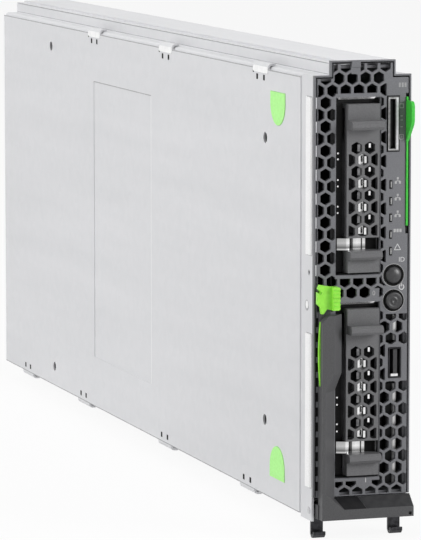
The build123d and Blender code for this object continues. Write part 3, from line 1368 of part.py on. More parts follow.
with BuildPart() as rear_frame:
    with BuildSketch(front_plane(REAR_PLATE + REAR_SHEET)):
        span(LIP_X + BEND + FIT_GAP, INNER - BEND + SHEET - FIT_GAP, SHEET, BODY_HEIGHT - SHEET)
        for middle in SIGNAL_MIDDLES:
            with Locations(((PLUG_X0 + BOARD_X0) / 2, middle)):
                Rectangle(
                    BOARD_X0 - PLUG_X0 + 2 * PLUG_CLEAR,
                    SIGNAL_PLUG + 2 * PLUG_CLEAR,
                    mode=Mode.SUBTRACT,
                )
        with Locations(((PLUG_X0 + BOARD_X0) / 2, BOARD_MIDDLE)):
            Rectangle(BOARD_X0 - PLUG_X0 + 2 * PLUG_CLEAR, POWER_PLUG + 2 * PLUG_CLEAR, mode=Mode.SUBTRACT)
        # Notches open to the side leave the guide sockets free
        for height in SOCKET_HEIGHTS:
            span(
                -HALF_WIDTH,
                SOCKET_X0 + SOCKET_NOTCH,
                height - SOCKET_NOTCH,
                height + SOCKET_NOTCH,
                Mode.SUBTRACT,
            )
        with Locations(((VENT_X[0] + VENT_X[1]) / 2, BOARD_MIDDLE)):
            with GridLocations(0, VENT_PITCH, 1, VENT_ROWS):
                Rectangle(VENT_X[1] - VENT_X[0], VENT_HEIGHT, mode=Mode.SUBTRACT)
    extrude(amount=REAR_SHEET)
finish(rear_frame, "rear_frame")

SIGNAL_SLOT = 3.0

with BuildPart() as signal_connectors:
    with BuildSketch(front_plane(BODY_DEPTH)):
        for middle in SIGNAL_MIDDLES:
            with Locations(((PLUG_X0 + BOARD_X0) / 2, middle)):
                Rectangle(BOARD_X0 - PLUG_X0, SIGNAL_PLUG)
    extrude(amount=BODY_DEPTH - PLUG_FRONT)
    # Contact slots in two columns
    with BuildSketch(front_plane(BODY_DEPTH)):
        for middle in SIGNAL_MIDDLES:
            with Locations(((PLUG_X0 + BOARD_X0) / 2, middle)):
                with GridLocations(SIGNAL_SLOT + 2.0, 0, 2, 1):
                    Rectangle(SIGNAL_SLOT, SIGNAL_PLUG - 4 * SHEET)
    extrude(amount=4 * SHEET, mode=Mode.SUBTRACT)
finish(signal_connectors, "signal_connectors")

with BuildPart() as power_connector:
    with BuildSketch(front_plane(BODY_DEPTH)):
        with Locations(((PLUG_X0 + BOARD_X0) / 2, BOARD_MIDDLE)):
            Rectangle(BOARD_X0 - PLUG_X0, POWER_PLUG)
    extrude(amount=BODY_DEPTH - PLUG_FRONT)
    with BuildSketch(front_plane(BODY_DEPTH)):
        with Locations(((PLUG_X0 + BOARD_X0) / 2, BOARD_MIDDLE)):
            with GridLocations(0, 5.5, 1, 4):
                Rectangle(8.0, 2.0)
    extrude(amount=6 * SHEET, mode=Mode.SUBTRACT)
finish(power_connector, "power_connector")

with BuildPart() as guide_sockets:
    with BuildSketch(front_plane(REAR_PLATE)):
        with Locations(*[(SOCKET_X0, height) for height in SOCKET_HEIGHTS]):
            Rectangle(SOCKET_BLOCK, SOCKET_BLOCK)
            Circle(SOCKET_BORE, mode=Mode.SUBTRACT)
    extrude(amount=SOCKET_BLOCK)
finish(guide_sockets, "guide_sockets")
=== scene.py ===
"""Looks of the blade server: materials, small marks, springs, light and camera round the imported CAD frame."""

import json
import math

import bmesh
import bpy
from mathutils import Matrix, Vector


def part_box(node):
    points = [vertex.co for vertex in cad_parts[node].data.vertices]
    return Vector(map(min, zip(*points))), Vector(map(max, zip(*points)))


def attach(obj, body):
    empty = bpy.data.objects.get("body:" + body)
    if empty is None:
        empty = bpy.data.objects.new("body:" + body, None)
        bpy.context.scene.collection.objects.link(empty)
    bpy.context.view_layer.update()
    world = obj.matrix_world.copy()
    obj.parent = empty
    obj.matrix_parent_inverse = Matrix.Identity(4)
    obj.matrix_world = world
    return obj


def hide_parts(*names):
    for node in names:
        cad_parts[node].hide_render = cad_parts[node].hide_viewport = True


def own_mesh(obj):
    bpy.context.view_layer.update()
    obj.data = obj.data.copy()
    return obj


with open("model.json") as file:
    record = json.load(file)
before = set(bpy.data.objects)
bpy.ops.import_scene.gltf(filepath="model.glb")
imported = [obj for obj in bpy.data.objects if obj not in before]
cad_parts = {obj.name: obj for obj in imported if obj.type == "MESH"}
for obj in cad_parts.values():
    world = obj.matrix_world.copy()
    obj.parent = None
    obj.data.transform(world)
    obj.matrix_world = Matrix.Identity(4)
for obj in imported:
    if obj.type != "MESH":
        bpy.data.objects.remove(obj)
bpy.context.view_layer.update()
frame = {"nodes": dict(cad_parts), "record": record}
nodes = frame["nodes"]

MM = 0.001
RIM_DEPTH = 2.0
FRAME_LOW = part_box("front_frame")[0]
FRONT_Y = FRAME_LOW[1] - RIM_DEPTH * MM
BASE_Z = FRAME_LOW[2]
LEFT_X = FRAME_LOW[0] / MM


def at(x, depth, height):
    """Point in metres from millimetres: x, depth behind the bezel's face, height over the case's bottom."""
    return Vector((x * MM, FRONT_Y + depth * MM, BASE_Z + height * MM))


def depth_of(y):
    """Depth in millimetres behind the bezel's face."""
    return (y - FRONT_Y) / MM


def height_of(z):
    """Height in millimetres over the case's bottom."""
    return (z - BASE_Z) / MM


# Materials

BUMP_HEIGHT = 0.2
ZINC_CELLS, ZINC_STREAKS, ZINC_STRETCH, ZINC_DETAIL, ZINC_STREAK_SHARE = 260.0, 90.0, (1, 0.06, 1), 5.0, 0.75
ZINC_TONES, ZINC_ROUGH, ZINC_METALLIC, ZINC_RELIEF = (0.2, 0.8), (0.42, 0.60), 0.45, 0.03


def new_material(name):
    """Node material with a Principled shader; returns the material, its nodes, links and shader."""
    material = bpy.data.materials.new(name)
    material.use_nodes = True
    tree = material.node_tree
    shader = tree.nodes["Principled BSDF"]
    return material, tree.nodes, tree.links, shader


def noise_field(tree_nodes, links, scale, stretch=(1, 1, 1), detail=4.0):
    """Noise in the object's own space, stretched by axis."""
    place = tree_nodes.new("ShaderNodeTexCoord")
    mapping = tree_nodes.new("ShaderNodeMapping")
    mapping.inputs["Scale"].default_value = stretch
    noise = tree_nodes.new("ShaderNodeTexNoise")
    noise.inputs["Scale"].default_value = scale
    noise.inputs["Detail"].default_value = detail
    links.new(place.outputs["Object"], mapping.inputs["Vector"])
    links.new(mapping.outputs["Vector"], noise.inputs["Vector"])
    return noise.outputs["Fac"]


def tone(tree_nodes, links, field, dark, light, low=0.35, high=0.65):
    """Colour that runs from dark to light with a field."""
    ramp = tree_nodes.new("ShaderNodeValToRGB")
    ramp.color_ramp.elements[0].position = low
    ramp.color_ramp.elements[0].color = (*dark, 1)
    ramp.color_ramp.elements[1].position = high
    ramp.color_ramp.elements[1].color = (*light, 1)
    links.new(field, ramp.inputs["Fac"])
    return ramp.outputs["Color"]


def value_range(tree_nodes, links, field, low, high):
    """Number that runs from low to high with a field."""
    spread = tree_nodes.new("ShaderNodeMapRange")
    spread.inputs["To Min"].default_value = low
    spread.inputs["To Max"].default_value = high
    links.new(field, spread.inputs["Value"])
    return spread.outputs["Result"]


def bump(tree_nodes, links, shader, field, strength, edge=0.0):
    """Fine relief from a field, on edges that are rounded by a radius in millimetres."""
    relief = tree_nodes.new("ShaderNodeBump")
    relief.inputs["Strength"].default_value = strength
    relief.inputs["Distance"].default_value = BUMP_HEIGHT * MM
    links.new(field, relief.inputs["Height"])
    if edge:
        soft_edge = tree_nodes.new("ShaderNodeBevel")
        soft_edge.inputs["Radius"].default_value = edge * MM
        links.new(soft_edge.outputs["Normal"], relief.inputs["Normal"])
    links.new(relief.outputs["Normal"], shader.inputs["Normal"])


def surface(
    name,
    dark,
    light,
    rough,
    metallic=0.0,
    scale=300.0,
    stretch=(1, 1, 1),
    relief=0.0,
    specular=0.5,
    edge=0.0,
):
    """Plastic or metal whose colour, gloss and grain follow a noise field."""
    material, tree_nodes, links, shader = new_material(name)
    field = noise_field(tree_nodes, links, scale, stretch)
    links.new(tone(tree_nodes, links, field, dark, light), shader.inputs["Base Color"])
    links.new(value_range(tree_nodes, links, field, *rough), shader.inputs["Roughness"])
    shader.inputs["Metallic"].default_value = metallic
    shader.inputs["Specular IOR Level"].default_value = specular
    if relief or edge:
        bump(tree_nodes, links, shader, field, relief, edge)
    return material


def grey_ramp(tree_nodes, links, field, bands):
    """Grey that follows a field through stops of place and brightness, its two ends first."""
    ramp = tree_nodes.new("ShaderNodeValToRGB")
    stops = ramp.color_ramp.elements
    for index, (share, grey) in enumerate(bands):
        stop = stops[index] if index < 2 else stops.new(share)
        stop.position = share
        stop.color = (grey, grey, grey, 1)
    links.new(field, ramp.inputs["Fac"])
    return ramp.outputs["Color"]


def banded(name, bands, levels, rough):
    """Bright metal whose grey changes in upright bands across a piece and in levels up it: painted highlights
    and painted shade on its faces and bends.
    """
    material, tree_nodes, links, shader = new_material(name)
    place = tree_nodes.new("ShaderNodeTexCoord")
    split = tree_nodes.new("ShaderNodeSeparateXYZ")
    links.new(place.outputs["Generated"], split.inputs["Vector"])
    blend = tree_nodes.new("ShaderNodeMix")
    blend.data_type = "RGBA"
    blend.blend_type = "MULTIPLY"
    blend.inputs["Factor"].default_value = 1.0
    links.new(grey_ramp(tree_nodes, links, split.outputs["X"], bands), blend.inputs["A"])
    links.new(grey_ramp(tree_nodes, links, split.outputs["Z"], levels), blend.inputs["B"])
    links.new(blend.outputs["Result"], shader.inputs["Base Color"])
    shader.inputs["Roughness"].default_value = rough
    shader.inputs["Metallic"].default_value = 1.0
    return material


def galvanised(name, dark, light):
    """Zinc-coated sheet: pale grey with a soft crystal pattern and faint rolling streaks."""
    material, tree_nodes, links, shader = new_material(name)
    place = tree_nodes.new("ShaderNodeTexCoord")
    cells = tree_nodes.new("ShaderNodeTexVoronoi")
    cells.inputs["Scale"].default_value = ZINC_CELLS
    links.new(place.outputs["Object"], cells.inputs["Vector"])
    streaks = noise_field(tree_nodes, links, ZINC_STREAKS, ZINC_STRETCH, ZINC_DETAIL)
    blend = tree_nodes.new("ShaderNodeMix")
    blend.data_type = "FLOAT"
    blend.inputs["Factor"].default_value = ZINC_STREAK_SHARE
    links.new(cells.outputs["Color"], blend.inputs["A"])
    links.new(streaks, blend.inputs["B"])
    field = blend.outputs["Result"]
    links.new(tone(tree_nodes, links, field, dark, light, *ZINC_TONES), shader.inputs["Base Color"])
    links.new(value_range(tree_nodes, links, field, *ZINC_ROUGH), shader.inputs["Roughness"])
    shader.inputs["Metallic"].default_value = ZINC_METALLIC
    bump(tree_nodes, links, shader, streaks, ZINC_RELIEF)
    return material


MATERIALS = {
    "galvanised": galvanised("galvanised_sheet", (0.63, 0.635, 0.65), (0.70, 0.70, 0.715)),
    "bezel_plastic": surface(
        "bezel_plastic",
        (0.145, 0.147, 0.158),
        (0.185, 0.187, 0.199),
        (0.30, 0.42),
        scale=2500.0,
        relief=0.12,
        specular=0.3,
        edge=0.35,
    ),
    "carrier_plastic": surface(
        "carrier_plastic",
        (0.128, 0.128, 0.132),
        (0.160, 0.160, 0.166),
        (0.28, 0.40),
        scale=2200.0,
        relief=0.08,
        specular=0.3,
        edge=0.3,
    ),
    "lever_plastic": surface(
        "lever_plastic",
        (0.070, 0.070, 0.073),
        (0.088, 0.088, 0.091),
        (0.30, 0.42),
        scale=2200.0,
        relief=0.10,
        specular=0.3,
        edge=0.3,
    ),
    "lime_plastic": surface(
        "lime_plastic", (0.28, 0.76, 0.05), (0.33, 0.84, 0.07),
        (0.30, 0.42), scale=700.0, relief=0.04, edge=0.3
    ),
    "pad_lime": surface("pad_lime", (0.40, 0.87, 0.26), (0.45, 0.94, 0.30), (0.5, 0.6), scale=900.0),
    "card_green": surface(
        "card_green", (0.03, 0.46, 0.03), (0.05, 0.55, 0.045), (0.34, 0.46), scale=700.0, relief=0.03
    ),
    "gasket_cloth": surface(
        "gasket_cloth", (0.76, 0.76, 0.76), (0.95, 0.95, 0.95), (0.5, 0.7), scale=4000.0, relief=0.5
    ),
    "dark_steel": surface(
        "dark_steel", (0.02, 0.02, 0.022), (0.05, 0.05, 0.055),
        (0.25, 0.4), 0.6, 600.0, specular=0.3, edge=0.3
    ),
    "bright_steel": surface(
        "bright_steel", (0.70, 0.70, 0.70), (0.90, 0.90, 0.90), (0.12, 0.25), 1.0, 500.0
    ),
    "pin_steel": surface("pin_steel", (0.45, 0.45, 0.46), (0.62, 0.62, 0.63), (0.25, 0.4), 1.0, 800.0),
    "button_plastic": surface(
        "button_plastic", (0.028, 0.028, 0.029), (0.040, 0.040, 0.042), (0.30, 0.38), scale=1200.0
    ),
    "light_pipe": surface(
        "light_pipe", (0.004, 0.004, 0.004), (0.008, 0.008, 0.008),
        (0.3, 0.4), scale=900.0, specular=0.2
    ),
    "board_green": surface(
        "board_green", (0.008, 0.07, 0.03), (0.02, 0.13, 0.055), (0.3, 0.5), scale=250.0
    ),
    "board_black": surface(
        "board_black", (0.006, 0.007, 0.007), (0.012, 0.013, 0.013),
        (0.3, 0.5), scale=250.0, specular=0.2
    ),
    "black_insulator": surface(
        "black_insulator", (0.006, 0.006, 0.006), (0.013, 0.013, 0.013),
        (0.4, 0.55), scale=1500.0, specular=0.2
    ),
    "grey_insulator": surface(
        "tongue_black", (0.020, 0.020, 0.021), (0.032, 0.032, 0.034), (0.4, 0.5), scale=800.0
    ),
    "pale_insulator": surface(
        "pale_insulator", (0.55, 0.54, 0.50), (0.65, 0.64, 0.60), (0.4, 0.5), scale=800.0
    ),
    "socket_shell": surface(
        "console_metal", (0.10, 0.10, 0.10), (0.17, 0.17, 0.17), (0.25, 0.35), 0.8, 700.0
    ),
    "drive_metal": surface(
        "drive_metal", (0.30, 0.31, 0.32), (0.42, 0.43, 0.44), (0.35, 0.5), 0.8, 400.0
    ),
    "drive_dark": surface(
        "drive_dark", (0.015, 0.015, 0.016), (0.026, 0.026, 0.028), (0.35, 0.5), 0.5, 400.0
    ),
    "black_metal": surface(
        "black_metal", (0.006, 0.006, 0.006), (0.011, 0.011, 0.012),
        (0.4, 0.55), scale=600.0, specular=0.2
    ),
    "sink_metal": surface(
        "sink_metal", (0.55, 0.56, 0.57), (0.70, 0.71, 0.72), (0.3, 0.45), 0.9, 500.0, (1, 0.1, 1)
    ),
    "choke_grey": surface(
        "choke_grey", (0.05, 0.05, 0.055), (0.09, 0.09, 0.095), (0.5, 0.65), scale=900.0, relief=0.1
    ),
    "cell_steel": surface("cell_steel", (0.5, 0.5, 0.49), (0.66, 0.66, 0.64), (0.2, 0.35), 1.0, 500.0),
}
PRINT_WHITE = surface("print_white", (0.60, 0.60, 0.60), (0.70, 0.70, 0.70), (0.5, 0.6), scale=1500.0)
PRINT_DIM = surface("print_dim", (0.27, 0.27, 0.275), (0.33, 0.33, 0.335), (0.5, 0.6), scale=1500.0)
# Grey for print, and for painted highlights round the buttons and in the status light windows
PRINT_AND_HIGHLIGHT_GREY = surface("print_and_highlight_grey", (0.37, 0.37, 0.37), (0.46, 0.46, 0.46), (0.5, 0.6), scale=1500.0)
PLATE_BLACK = surface(
    "plate_black", (0.006, 0.006, 0.007), (0.011, 0.011, 0.012), (0.35, 0.45), specular=0.2
)
FIELD_BLACK = surface(
    "field_black", (0.027, 0.027, 0.029), (0.038, 0.038, 0.040), (0.35, 0.45), specular=0.2
)
SLOT_SHADE = surface(
    "slot_shade", (0.003, 0.003, 0.003), (0.006, 0.006, 0.006), (0.6, 0.7), specular=0.1
)
# White for painted highlights: the tabs' lips, the label field's front edge and the dimple on the front strip
HIGHLIGHT_WHITE = surface("painted_highlight_white", (0.84, 0.84, 0.84), (0.92, 0.92, 0.92), (0.4, 0.5))
# Grey for seams, and for painted shade: lines at the label field's top and the ridge's foot and the ring of the
# painted dimple
SEAM_AND_SHADE_GREY = surface("seam_and_shade_grey", (0.30, 0.30, 0.31), (0.40, 0.40, 0.41), (0.5, 0.6))
# Grey for painted highlights on the console socket's edges
CONSOLE_HIGHLIGHT_GREY = surface("console_highlight_grey", (0.30, 0.30, 0.30), (0.42, 0.42, 0.42), (0.3, 0.4), 0.8, 700.0)
# Darker copy of the bright steel: painted shade on the shield's edges
SHADED_STEEL = surface("painted_shade_steel", (0.10, 0.10, 0.105), (0.22, 0.22, 0.225), (0.25, 0.4), 0.8, 500.0)
# Bands across and levels up the folded spring, of painted highlight and painted shade: bright faces, dark
# bends, a bright foot and a dark band just above it
SPRING_BANDS = (
    (0.0, 0.50),
    (1.0, 0.75),
    (0.28, 0.55),
    (0.32, 0.90),
    (0.42, 0.90),
    (0.45, 0.10),
    (0.54, 0.16),
    (0.57, 0.75),
    (0.70, 0.90),
    (0.83, 0.80),
    (0.85, 0.05),
    (0.88, 0.05),
    (0.90, 0.80),
)
SPRING_LEVELS = (
    (0.0, 1.0),
    (1.0, 0.75),
    (0.10, 1.0),
    (0.16, 0.35),
    (0.24, 0.30),
    (0.36, 0.55),
    (0.60, 0.95),
)
SPRING_PAINTED_LIGHT = banded("spring_steel_painted_light", SPRING_BANDS, SPRING_LEVELS, 0.18)
# Bands of painted highlight and painted shade across the baffle's strip, which is darker towards the bottom
STRIP_BANDS = (
    (0.0, 0.01),
    (1.0, 0.02),
    (0.20, 0.03),
    (0.32, 0.35),
    (0.58, 0.75),
    (0.84, 0.45),
    (0.90, 0.02),
)
STRIP_LEVELS = ((0.0, 0.8), (1.0, 1.0))
STRIP_PAINTED_LIGHT = banded("baffle_painted_light_steel", STRIP_BANDS, STRIP_LEVELS, 0.35)

# The front strip is a duller sheet than the cover, and the baffle is blackened
NODE_LOOKS = {
    "front_baffle": MATERIALS["black_metal"],
    "front_frame": galvanised("strip_sheet", (0.62, 0.625, 0.64), (0.685, 0.685, 0.70)),
}

for part in frame["record"]["subparts"]:
    mesh = nodes[part["node"]].data
    mesh.materials.clear()
    mesh.materials.append(NODE_LOOKS.get(part["node"], MATERIALS[part["material_slot"]]))


# Small pieces

PRINT = 0.06
FRONT = (0, -1, 0)
LEFT = (-1, 0, 0)
RING_STEPS, DISC_STEPS, TURN_STEPS = 28, 20, 48
TEXT_SIZE, TEXT_SMOOTHNESS = 3.0, 3


def add_mesh(name, body, slot, material, vertices, faces):
    """Mesh piece that rides on a body; vertices are in metres in the row frame."""
    mesh = bpy.data.meshes.new(name)
    mesh.from_pydata([tuple(v) for v in vertices], [], faces)
    mesh.update()
    piece = bpy.data.objects.new(name, mesh)
    bpy.context.scene.collection.objects.link(piece)
    mesh.materials.append(material)
    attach(piece, body)
    return piece


def face_outward(piece):
    """Turn the faces of a closed piece outward."""
    shell = bmesh.new()
    shell.from_mesh(piece.data)
    bmesh.ops.recalc_face_normals(shell, faces=shell.faces)
    shell.to_mesh(piece.data)
    shell.free()


def add_plate(name, body, slot, material, outline, normal, thickness):
    """Thin plate: an outline of points, raised along its normal."""
    lift = Vector(normal) * thickness * MM
    count = len(outline)
    vertices = list(outline) + [point + lift for point in outline]
    faces = [tuple(reversed(range(count))), tuple(range(count, 2 * count))]
    faces += [(i, (i + 1) % count, count + (i + 1) % count, count + i) for i in range(count)]
    piece = add_mesh(name, body, slot, material, vertices, faces)
    face_outward(piece)


def mark_box(name, x0, x1, h0, h1, material=PRINT_WHITE):
    """Printed rectangle on the bezel's face."""
    outline = [at(x0, 0, h0), at(x1, 0, h0), at(x1, 0, h1), at(x0, 0, h1)]
    add_plate(name, "chassis", "pale_insulator", material, outline, FRONT, PRINT)


def mark_ring(name, x, height, radius, width, gap=0, material=PRINT_WHITE, slot="pale_insulator"):
    """Flat ring just before the bezel's face; gap leaves it open at the top, in degrees."""
    start = math.radians(90 + gap / 2)
    sweep = math.radians(360 - gap)
    points = []
    for edge in (radius + width / 2, radius - width / 2):
        for step in range(RING_STEPS + 1):
            angle = start + sweep * step / RING_STEPS
            points.append(at(x + edge * math.cos(angle), -PRINT, height + edge * math.sin(angle)))
    faces = [(i, i + 1, RING_STEPS + 2 + i, RING_STEPS + 1 + i) for i in range(RING_STEPS)]
    add_mesh(name, "chassis", slot, material, points, faces)


def mark_text(name, text, x, height, material=PRINT_WHITE):
    """Printed text on the bezel's face."""
    curve = bpy.data.curves.new(name, "FONT")
    curve.body = text
    curve.size = TEXT_SIZE * MM
    curve.extrude = PRINT * MM / 2
    curve.align_x = "CENTER"
    curve.align_y = "CENTER"
    curve.resolution_u = TEXT_SMOOTHNESS
    curve.materials.append(material)
    piece = bpy.data.objects.new(name, curve)
    piece.matrix_world = Matrix.Translation(at(x, -PRINT, height)) @ Matrix.Rotation(math.pi / 2, 4, "X")
    bpy.context.scene.collection.objects.link(piece)
    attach(piece, "chassis")


def disc(name, slot, material, centre, normal, radius, thickness):
    """Low round boss or spot on an upright face of the chassis."""
    across = Vector((0, 0, 1))
    other = Vector(normal).cross(across)
    outline = []
    for step in range(DISC_STEPS):
        angle = 2 * math.pi * step / DISC_STEPS
        outline.append(centre + (across * math.cos(angle) + other * math.sin(angle)) * radius * MM)
    add_plate(name, "chassis", slot, material, outline, normal, thickness)


# Printed marks beside the controls

ICON_X = 18.4
ID_HEIGHT = 114.9
POWER_HEIGHT, POWER_RADIUS, POWER_LINE, POWER_GAP = 102.8, 1.1, 0.4, 60
POWER_BAR_HALF, POWER_BAR_RISE = 0.18, (103.1, 104.4)
UPPER_MARK, LOWER_MARK = (5.4, 100.5), (2.0, 17.5)
CONSOLE_MARK_PITCH, CONSOLE_MARK_HALF, CONSOLE_MARK_RISE = 1.35, 0.45, (190.8, 192.8)

mark_text("id_mark", "ID", ICON_X, ID_HEIGHT)
mark_ring("power_mark", ICON_X, POWER_HEIGHT, POWER_RADIUS, POWER_LINE, POWER_GAP)
mark_box("power_mark_bar", ICON_X - POWER_BAR_HALF, ICON_X + POWER_BAR_HALF, *POWER_BAR_RISE)
mark_text("upper_bay_mark", "0", *UPPER_MARK, PRINT_AND_HIGHLIGHT_GREY)
mark_text("lower_bay_mark", "1", *LOWER_MARK)
for index in range(3):
    x = ICON_X + (index - 1) * CONSOLE_MARK_PITCH
    mark_x = (x - CONSOLE_MARK_HALF, x + CONSOLE_MARK_HALF)
    mark_box(f"console_mark_{index}", *mark_x, *CONSOLE_MARK_RISE, PRINT_DIM)

# Dim screen and storage signs, with strokes between them, beside the console socket

PORT_X, SIGN_LINE = 18.0, 0.3
SCREEN_HEIGHT, SCREEN_HALF = 182.6, 1.0
STORAGE_HEIGHT, STORAGE_HALF, STORAGE_CORE = 169.0, 1.1, 0.4
STROKE_HEIGHTS, STROKE_HALF, STROKE_LINE = (178.2, 176.4, 173.4), 0.5, 0.2


def mark_frame(name, x, height, half):
    """Printed square outline, drawn as four bars."""
    inner = half - SIGN_LINE
    edges = {
        "left": (x - half, x - inner, height - half, height + half),
        "right": (x + inner, x + half, height - half, height + half),
        "low": (x - inner, x + inner, height - half, height - inner),
        "high": (x - inner, x + inner, height + inner, height + half),
    }
    for edge, box in edges.items():
        mark_box(f"{name}_{edge}", *box, PRINT_AND_HIGHLIGHT_GREY)


mark_frame("screen_sign", PORT_X, SCREEN_HEIGHT, SCREEN_HALF)
mark_frame("storage_sign", PORT_X, STORAGE_HEIGHT, STORAGE_HALF)
core_x = (PORT_X - STORAGE_CORE, PORT_X + STORAGE_CORE)
core_rise = (STORAGE_HEIGHT - STORAGE_CORE, STORAGE_HEIGHT + STORAGE_CORE)
mark_box("storage_sign_core", *core_x, *core_rise, PRINT_DIM)
stroke_x = (PORT_X - STROKE_HALF, PORT_X + STROKE_HALF)
for index, height in enumerate(STROKE_HEIGHTS):
    mark_box(f"port_stroke_{index}", *stroke_x, height - STROKE_LINE, height + STROKE_LINE, PRINT_AND_HIGHLIGHT_GREY)

# Light icons: three network trees, a drive stack and a warning triangle

LIGHT_HIGH, LIGHT_PITCH, LIGHT_COUNT = 148.18, 7.35, 5
ICON_RISE = 1.7
ICON_HEIGHTS = [LIGHT_HIGH + ICON_RISE - LIGHT_PITCH * index for index in range(LIGHT_COUNT)]
ICON_COLUMN = 16.4
TREE_HALF, TREE_GAP, TREE_CAP, TREE_STEM, TREE_ARM, TREE_BAR = 1.45, 0.5, 0.45, 0.12, 1.1, (-0.35, -0.1)
STACK_PITCH, STACK_HALF, STACK_RISE = 1.35, 0.5, 0.75
WARNING_SIZE, WARNING_LINE, WARNING_FOOT, WARNING_TIP = 2.9, 0.14, 0.4, 0.5


def mark_triangle(name, x, height, size):
    """Printed warning triangle, drawn as three bars."""
    corners = [
        (x - size / 2, height - size * WARNING_FOOT),
        (x + size / 2, height - size * WARNING_FOOT),
        (x, height + size * WARNING_TIP),
    ]
    for index in range(3):
        (xa, ha), (xb, hb) = corners[index], corners[(index + 1) % 3]
        along = Vector((xb - xa, 0, hb - ha)).normalized()
        side = Vector((-along.z, 0, along.x)) * WARNING_LINE
        outline = [
            at(xa - side.x, 0, ha - side.z),
            at(xb - side.x, 0, hb - side.z),
            at(xb + side.x, 0, hb + side.z),
            at(xa + side.x, 0, ha + side.z),
        ]
        add_plate(f"{name}_{index}", "chassis", "pale_insulator", PRINT_WHITE, outline, FRONT, PRINT)


def mark_network(name, x, height):
    """Printed network tree: one box over two, joined by lines."""
    bar_low, bar_high = (height + rise for rise in TREE_BAR)
    parts = {
        "top": (x - TREE_CAP, x + TREE_CAP, height + TREE_GAP, height + TREE_HALF),
        "stem": (x - TREE_STEM, x + TREE_STEM, bar_high, height + TREE_GAP),
        "bar": (x - TREE_ARM, x + TREE_ARM, bar_low, bar_high),
        "left": (x - TREE_HALF, x - TREE_GAP, height - TREE_HALF, bar_low),
        "right": (x + TREE_GAP, x + TREE_HALF, height - TREE_HALF, bar_low),
    }
    for part, box in parts.items():
        mark_box(f"{name}_{part}", *box, PRINT_AND_HIGHLIGHT_GREY)


for index in range(3):
    mark_network(f"network_mark_{index}", ICON_COLUMN, ICON_HEIGHTS[index])
stack_rise = (ICON_HEIGHTS[3] - STACK_RISE, ICON_HEIGHTS[3] + STACK_RISE)
for row in range(3):
    x = ICON_COLUMN + (row - 1) * STACK_PITCH
    mark_box(f"drive_mark_{row}", x - STACK_HALF, x + STACK_HALF, *stack_rise, PRINT_AND_HIGHLIGHT_GREY)
mark_triangle("warning_mark", ICON_COLUMN, ICON_HEIGHTS[4], WARNING_SIZE)

# Turned buttons: a domed identity button and a dished power button with a small ring, each ringed by painted
# shade round its hole and a grey painted highlight on the hole's edge

BUTTON_X, BUTTON_BACK, BUTTON_FLANGE, BUTTON_STEM = 14.6, 2.2, 0.8, 1.5
DOME = [(0.05, -1.6), (1.2, -1.52), (2.2, -1.26), (3.0, -0.86), (3.5, -0.42), (3.8, 0.1)]
DISH = [(0.05, -1.0), (0.9, -1.0), (1.0, -1.3), (1.3, -1.3)]
DISH += [(1.4, -1.05), (2.4, -1.2), (3.3, -1.6), (3.8, -1.0)]
WELL_RADIUS, WELL_WIDTH, EDGE_WIDTH = 4.45, 0.9, 0.2


def box_shell(x, height, half, d0, d1, first):
    """Square block round an axis that runs front to back; its faces count on from a first vertex."""
    signs = ((-1, -1), (1, -1), (1, 1), (-1, 1))
    vertices = [at(x + half * a, depth, height + half * b) for depth in (d0, d1) for a, b in signs]
    faces = [(3, 2, 1, 0), (4, 5, 6, 7)] + [(i, (i + 1) % 4, 4 + (i + 1) % 4, 4 + i) for i in range(4)]
    return vertices, [tuple(first + index for index in face) for face in faces]


def turned_button(node, body, profile):
    """Button turned from a profile of radius and depth, with the CAD button's flange and post."""
    low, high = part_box(node)
    height = height_of((low[2] + high[2]) / 2)
    half = (high[0] - low[0]) / 2 / MM
    rings = profile + [(profile[-1][0], BUTTON_BACK)]
    vertices = []
    for radius, depth in rings:
        for step in range(TURN_STEPS):
            angle = 2 * math.pi * step / TURN_STEPS
            across, rise = radius * math.cos(angle), radius * math.sin(angle)
            vertices.append(at(BUTTON_X + across, depth, height + rise))
    faces = []
    for ring in range(len(rings) - 1):
        for step in range(TURN_STEPS):
            near, far = ring * TURN_STEPS + step, ring * TURN_STEPS + (step + 1) % TURN_STEPS
            faces.append((near, far, far + TURN_STEPS, near + TURN_STEPS))
    smooth = (len(profile) - 1) * TURN_STEPS
    faces += [tuple(range(TURN_STEPS)), tuple(range(len(vertices) - TURN_STEPS, len(vertices)))]
    flange = (half, BUTTON_BACK, BUTTON_BACK + BUTTON_FLANGE)
    post = (BUTTON_STEM, BUTTON_BACK, depth_of(high[1]))
    for size, d0, d1 in (flange, post):
        block, block_faces = box_shell(BUTTON_X, height, size, d0, d1, len(vertices))
        vertices += block
        faces += block_faces
    piece = add_mesh(f"{node}_turned", body, "button_plastic", MATERIALS["button_plastic"], vertices, faces)
    face_outward(piece)
    for polygon in piece.data.polygons[:smooth]:
        polygon.use_smooth = True
    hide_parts(node)


turned_button("id_button", "id_key", DOME)
turned_button("power_button", "power_key", DISH)
for node in ("id_button", "power_button"):
    low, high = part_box(node)
    height = height_of((low[2] + high[2]) / 2)
    edge_radius = WELL_RADIUS + (WELL_WIDTH + EDGE_WIDTH) / 2
    # Ring of painted shade round each button's hole, and a ring of painted highlight on the hole's edge
    mark_ring(f"{node}_well_shade", BUTTON_X, height, WELL_RADIUS, WELL_WIDTH, 0, SLOT_SHADE, "black_insulator")
    mark_ring(f"{node}_edge", BUTTON_X, height, edge_radius, EDGE_WIDTH, 0, PRINT_AND_HIGHLIGHT_GREY, "bezel_plastic")

# Bare plates on the sloped face above the lever's bar

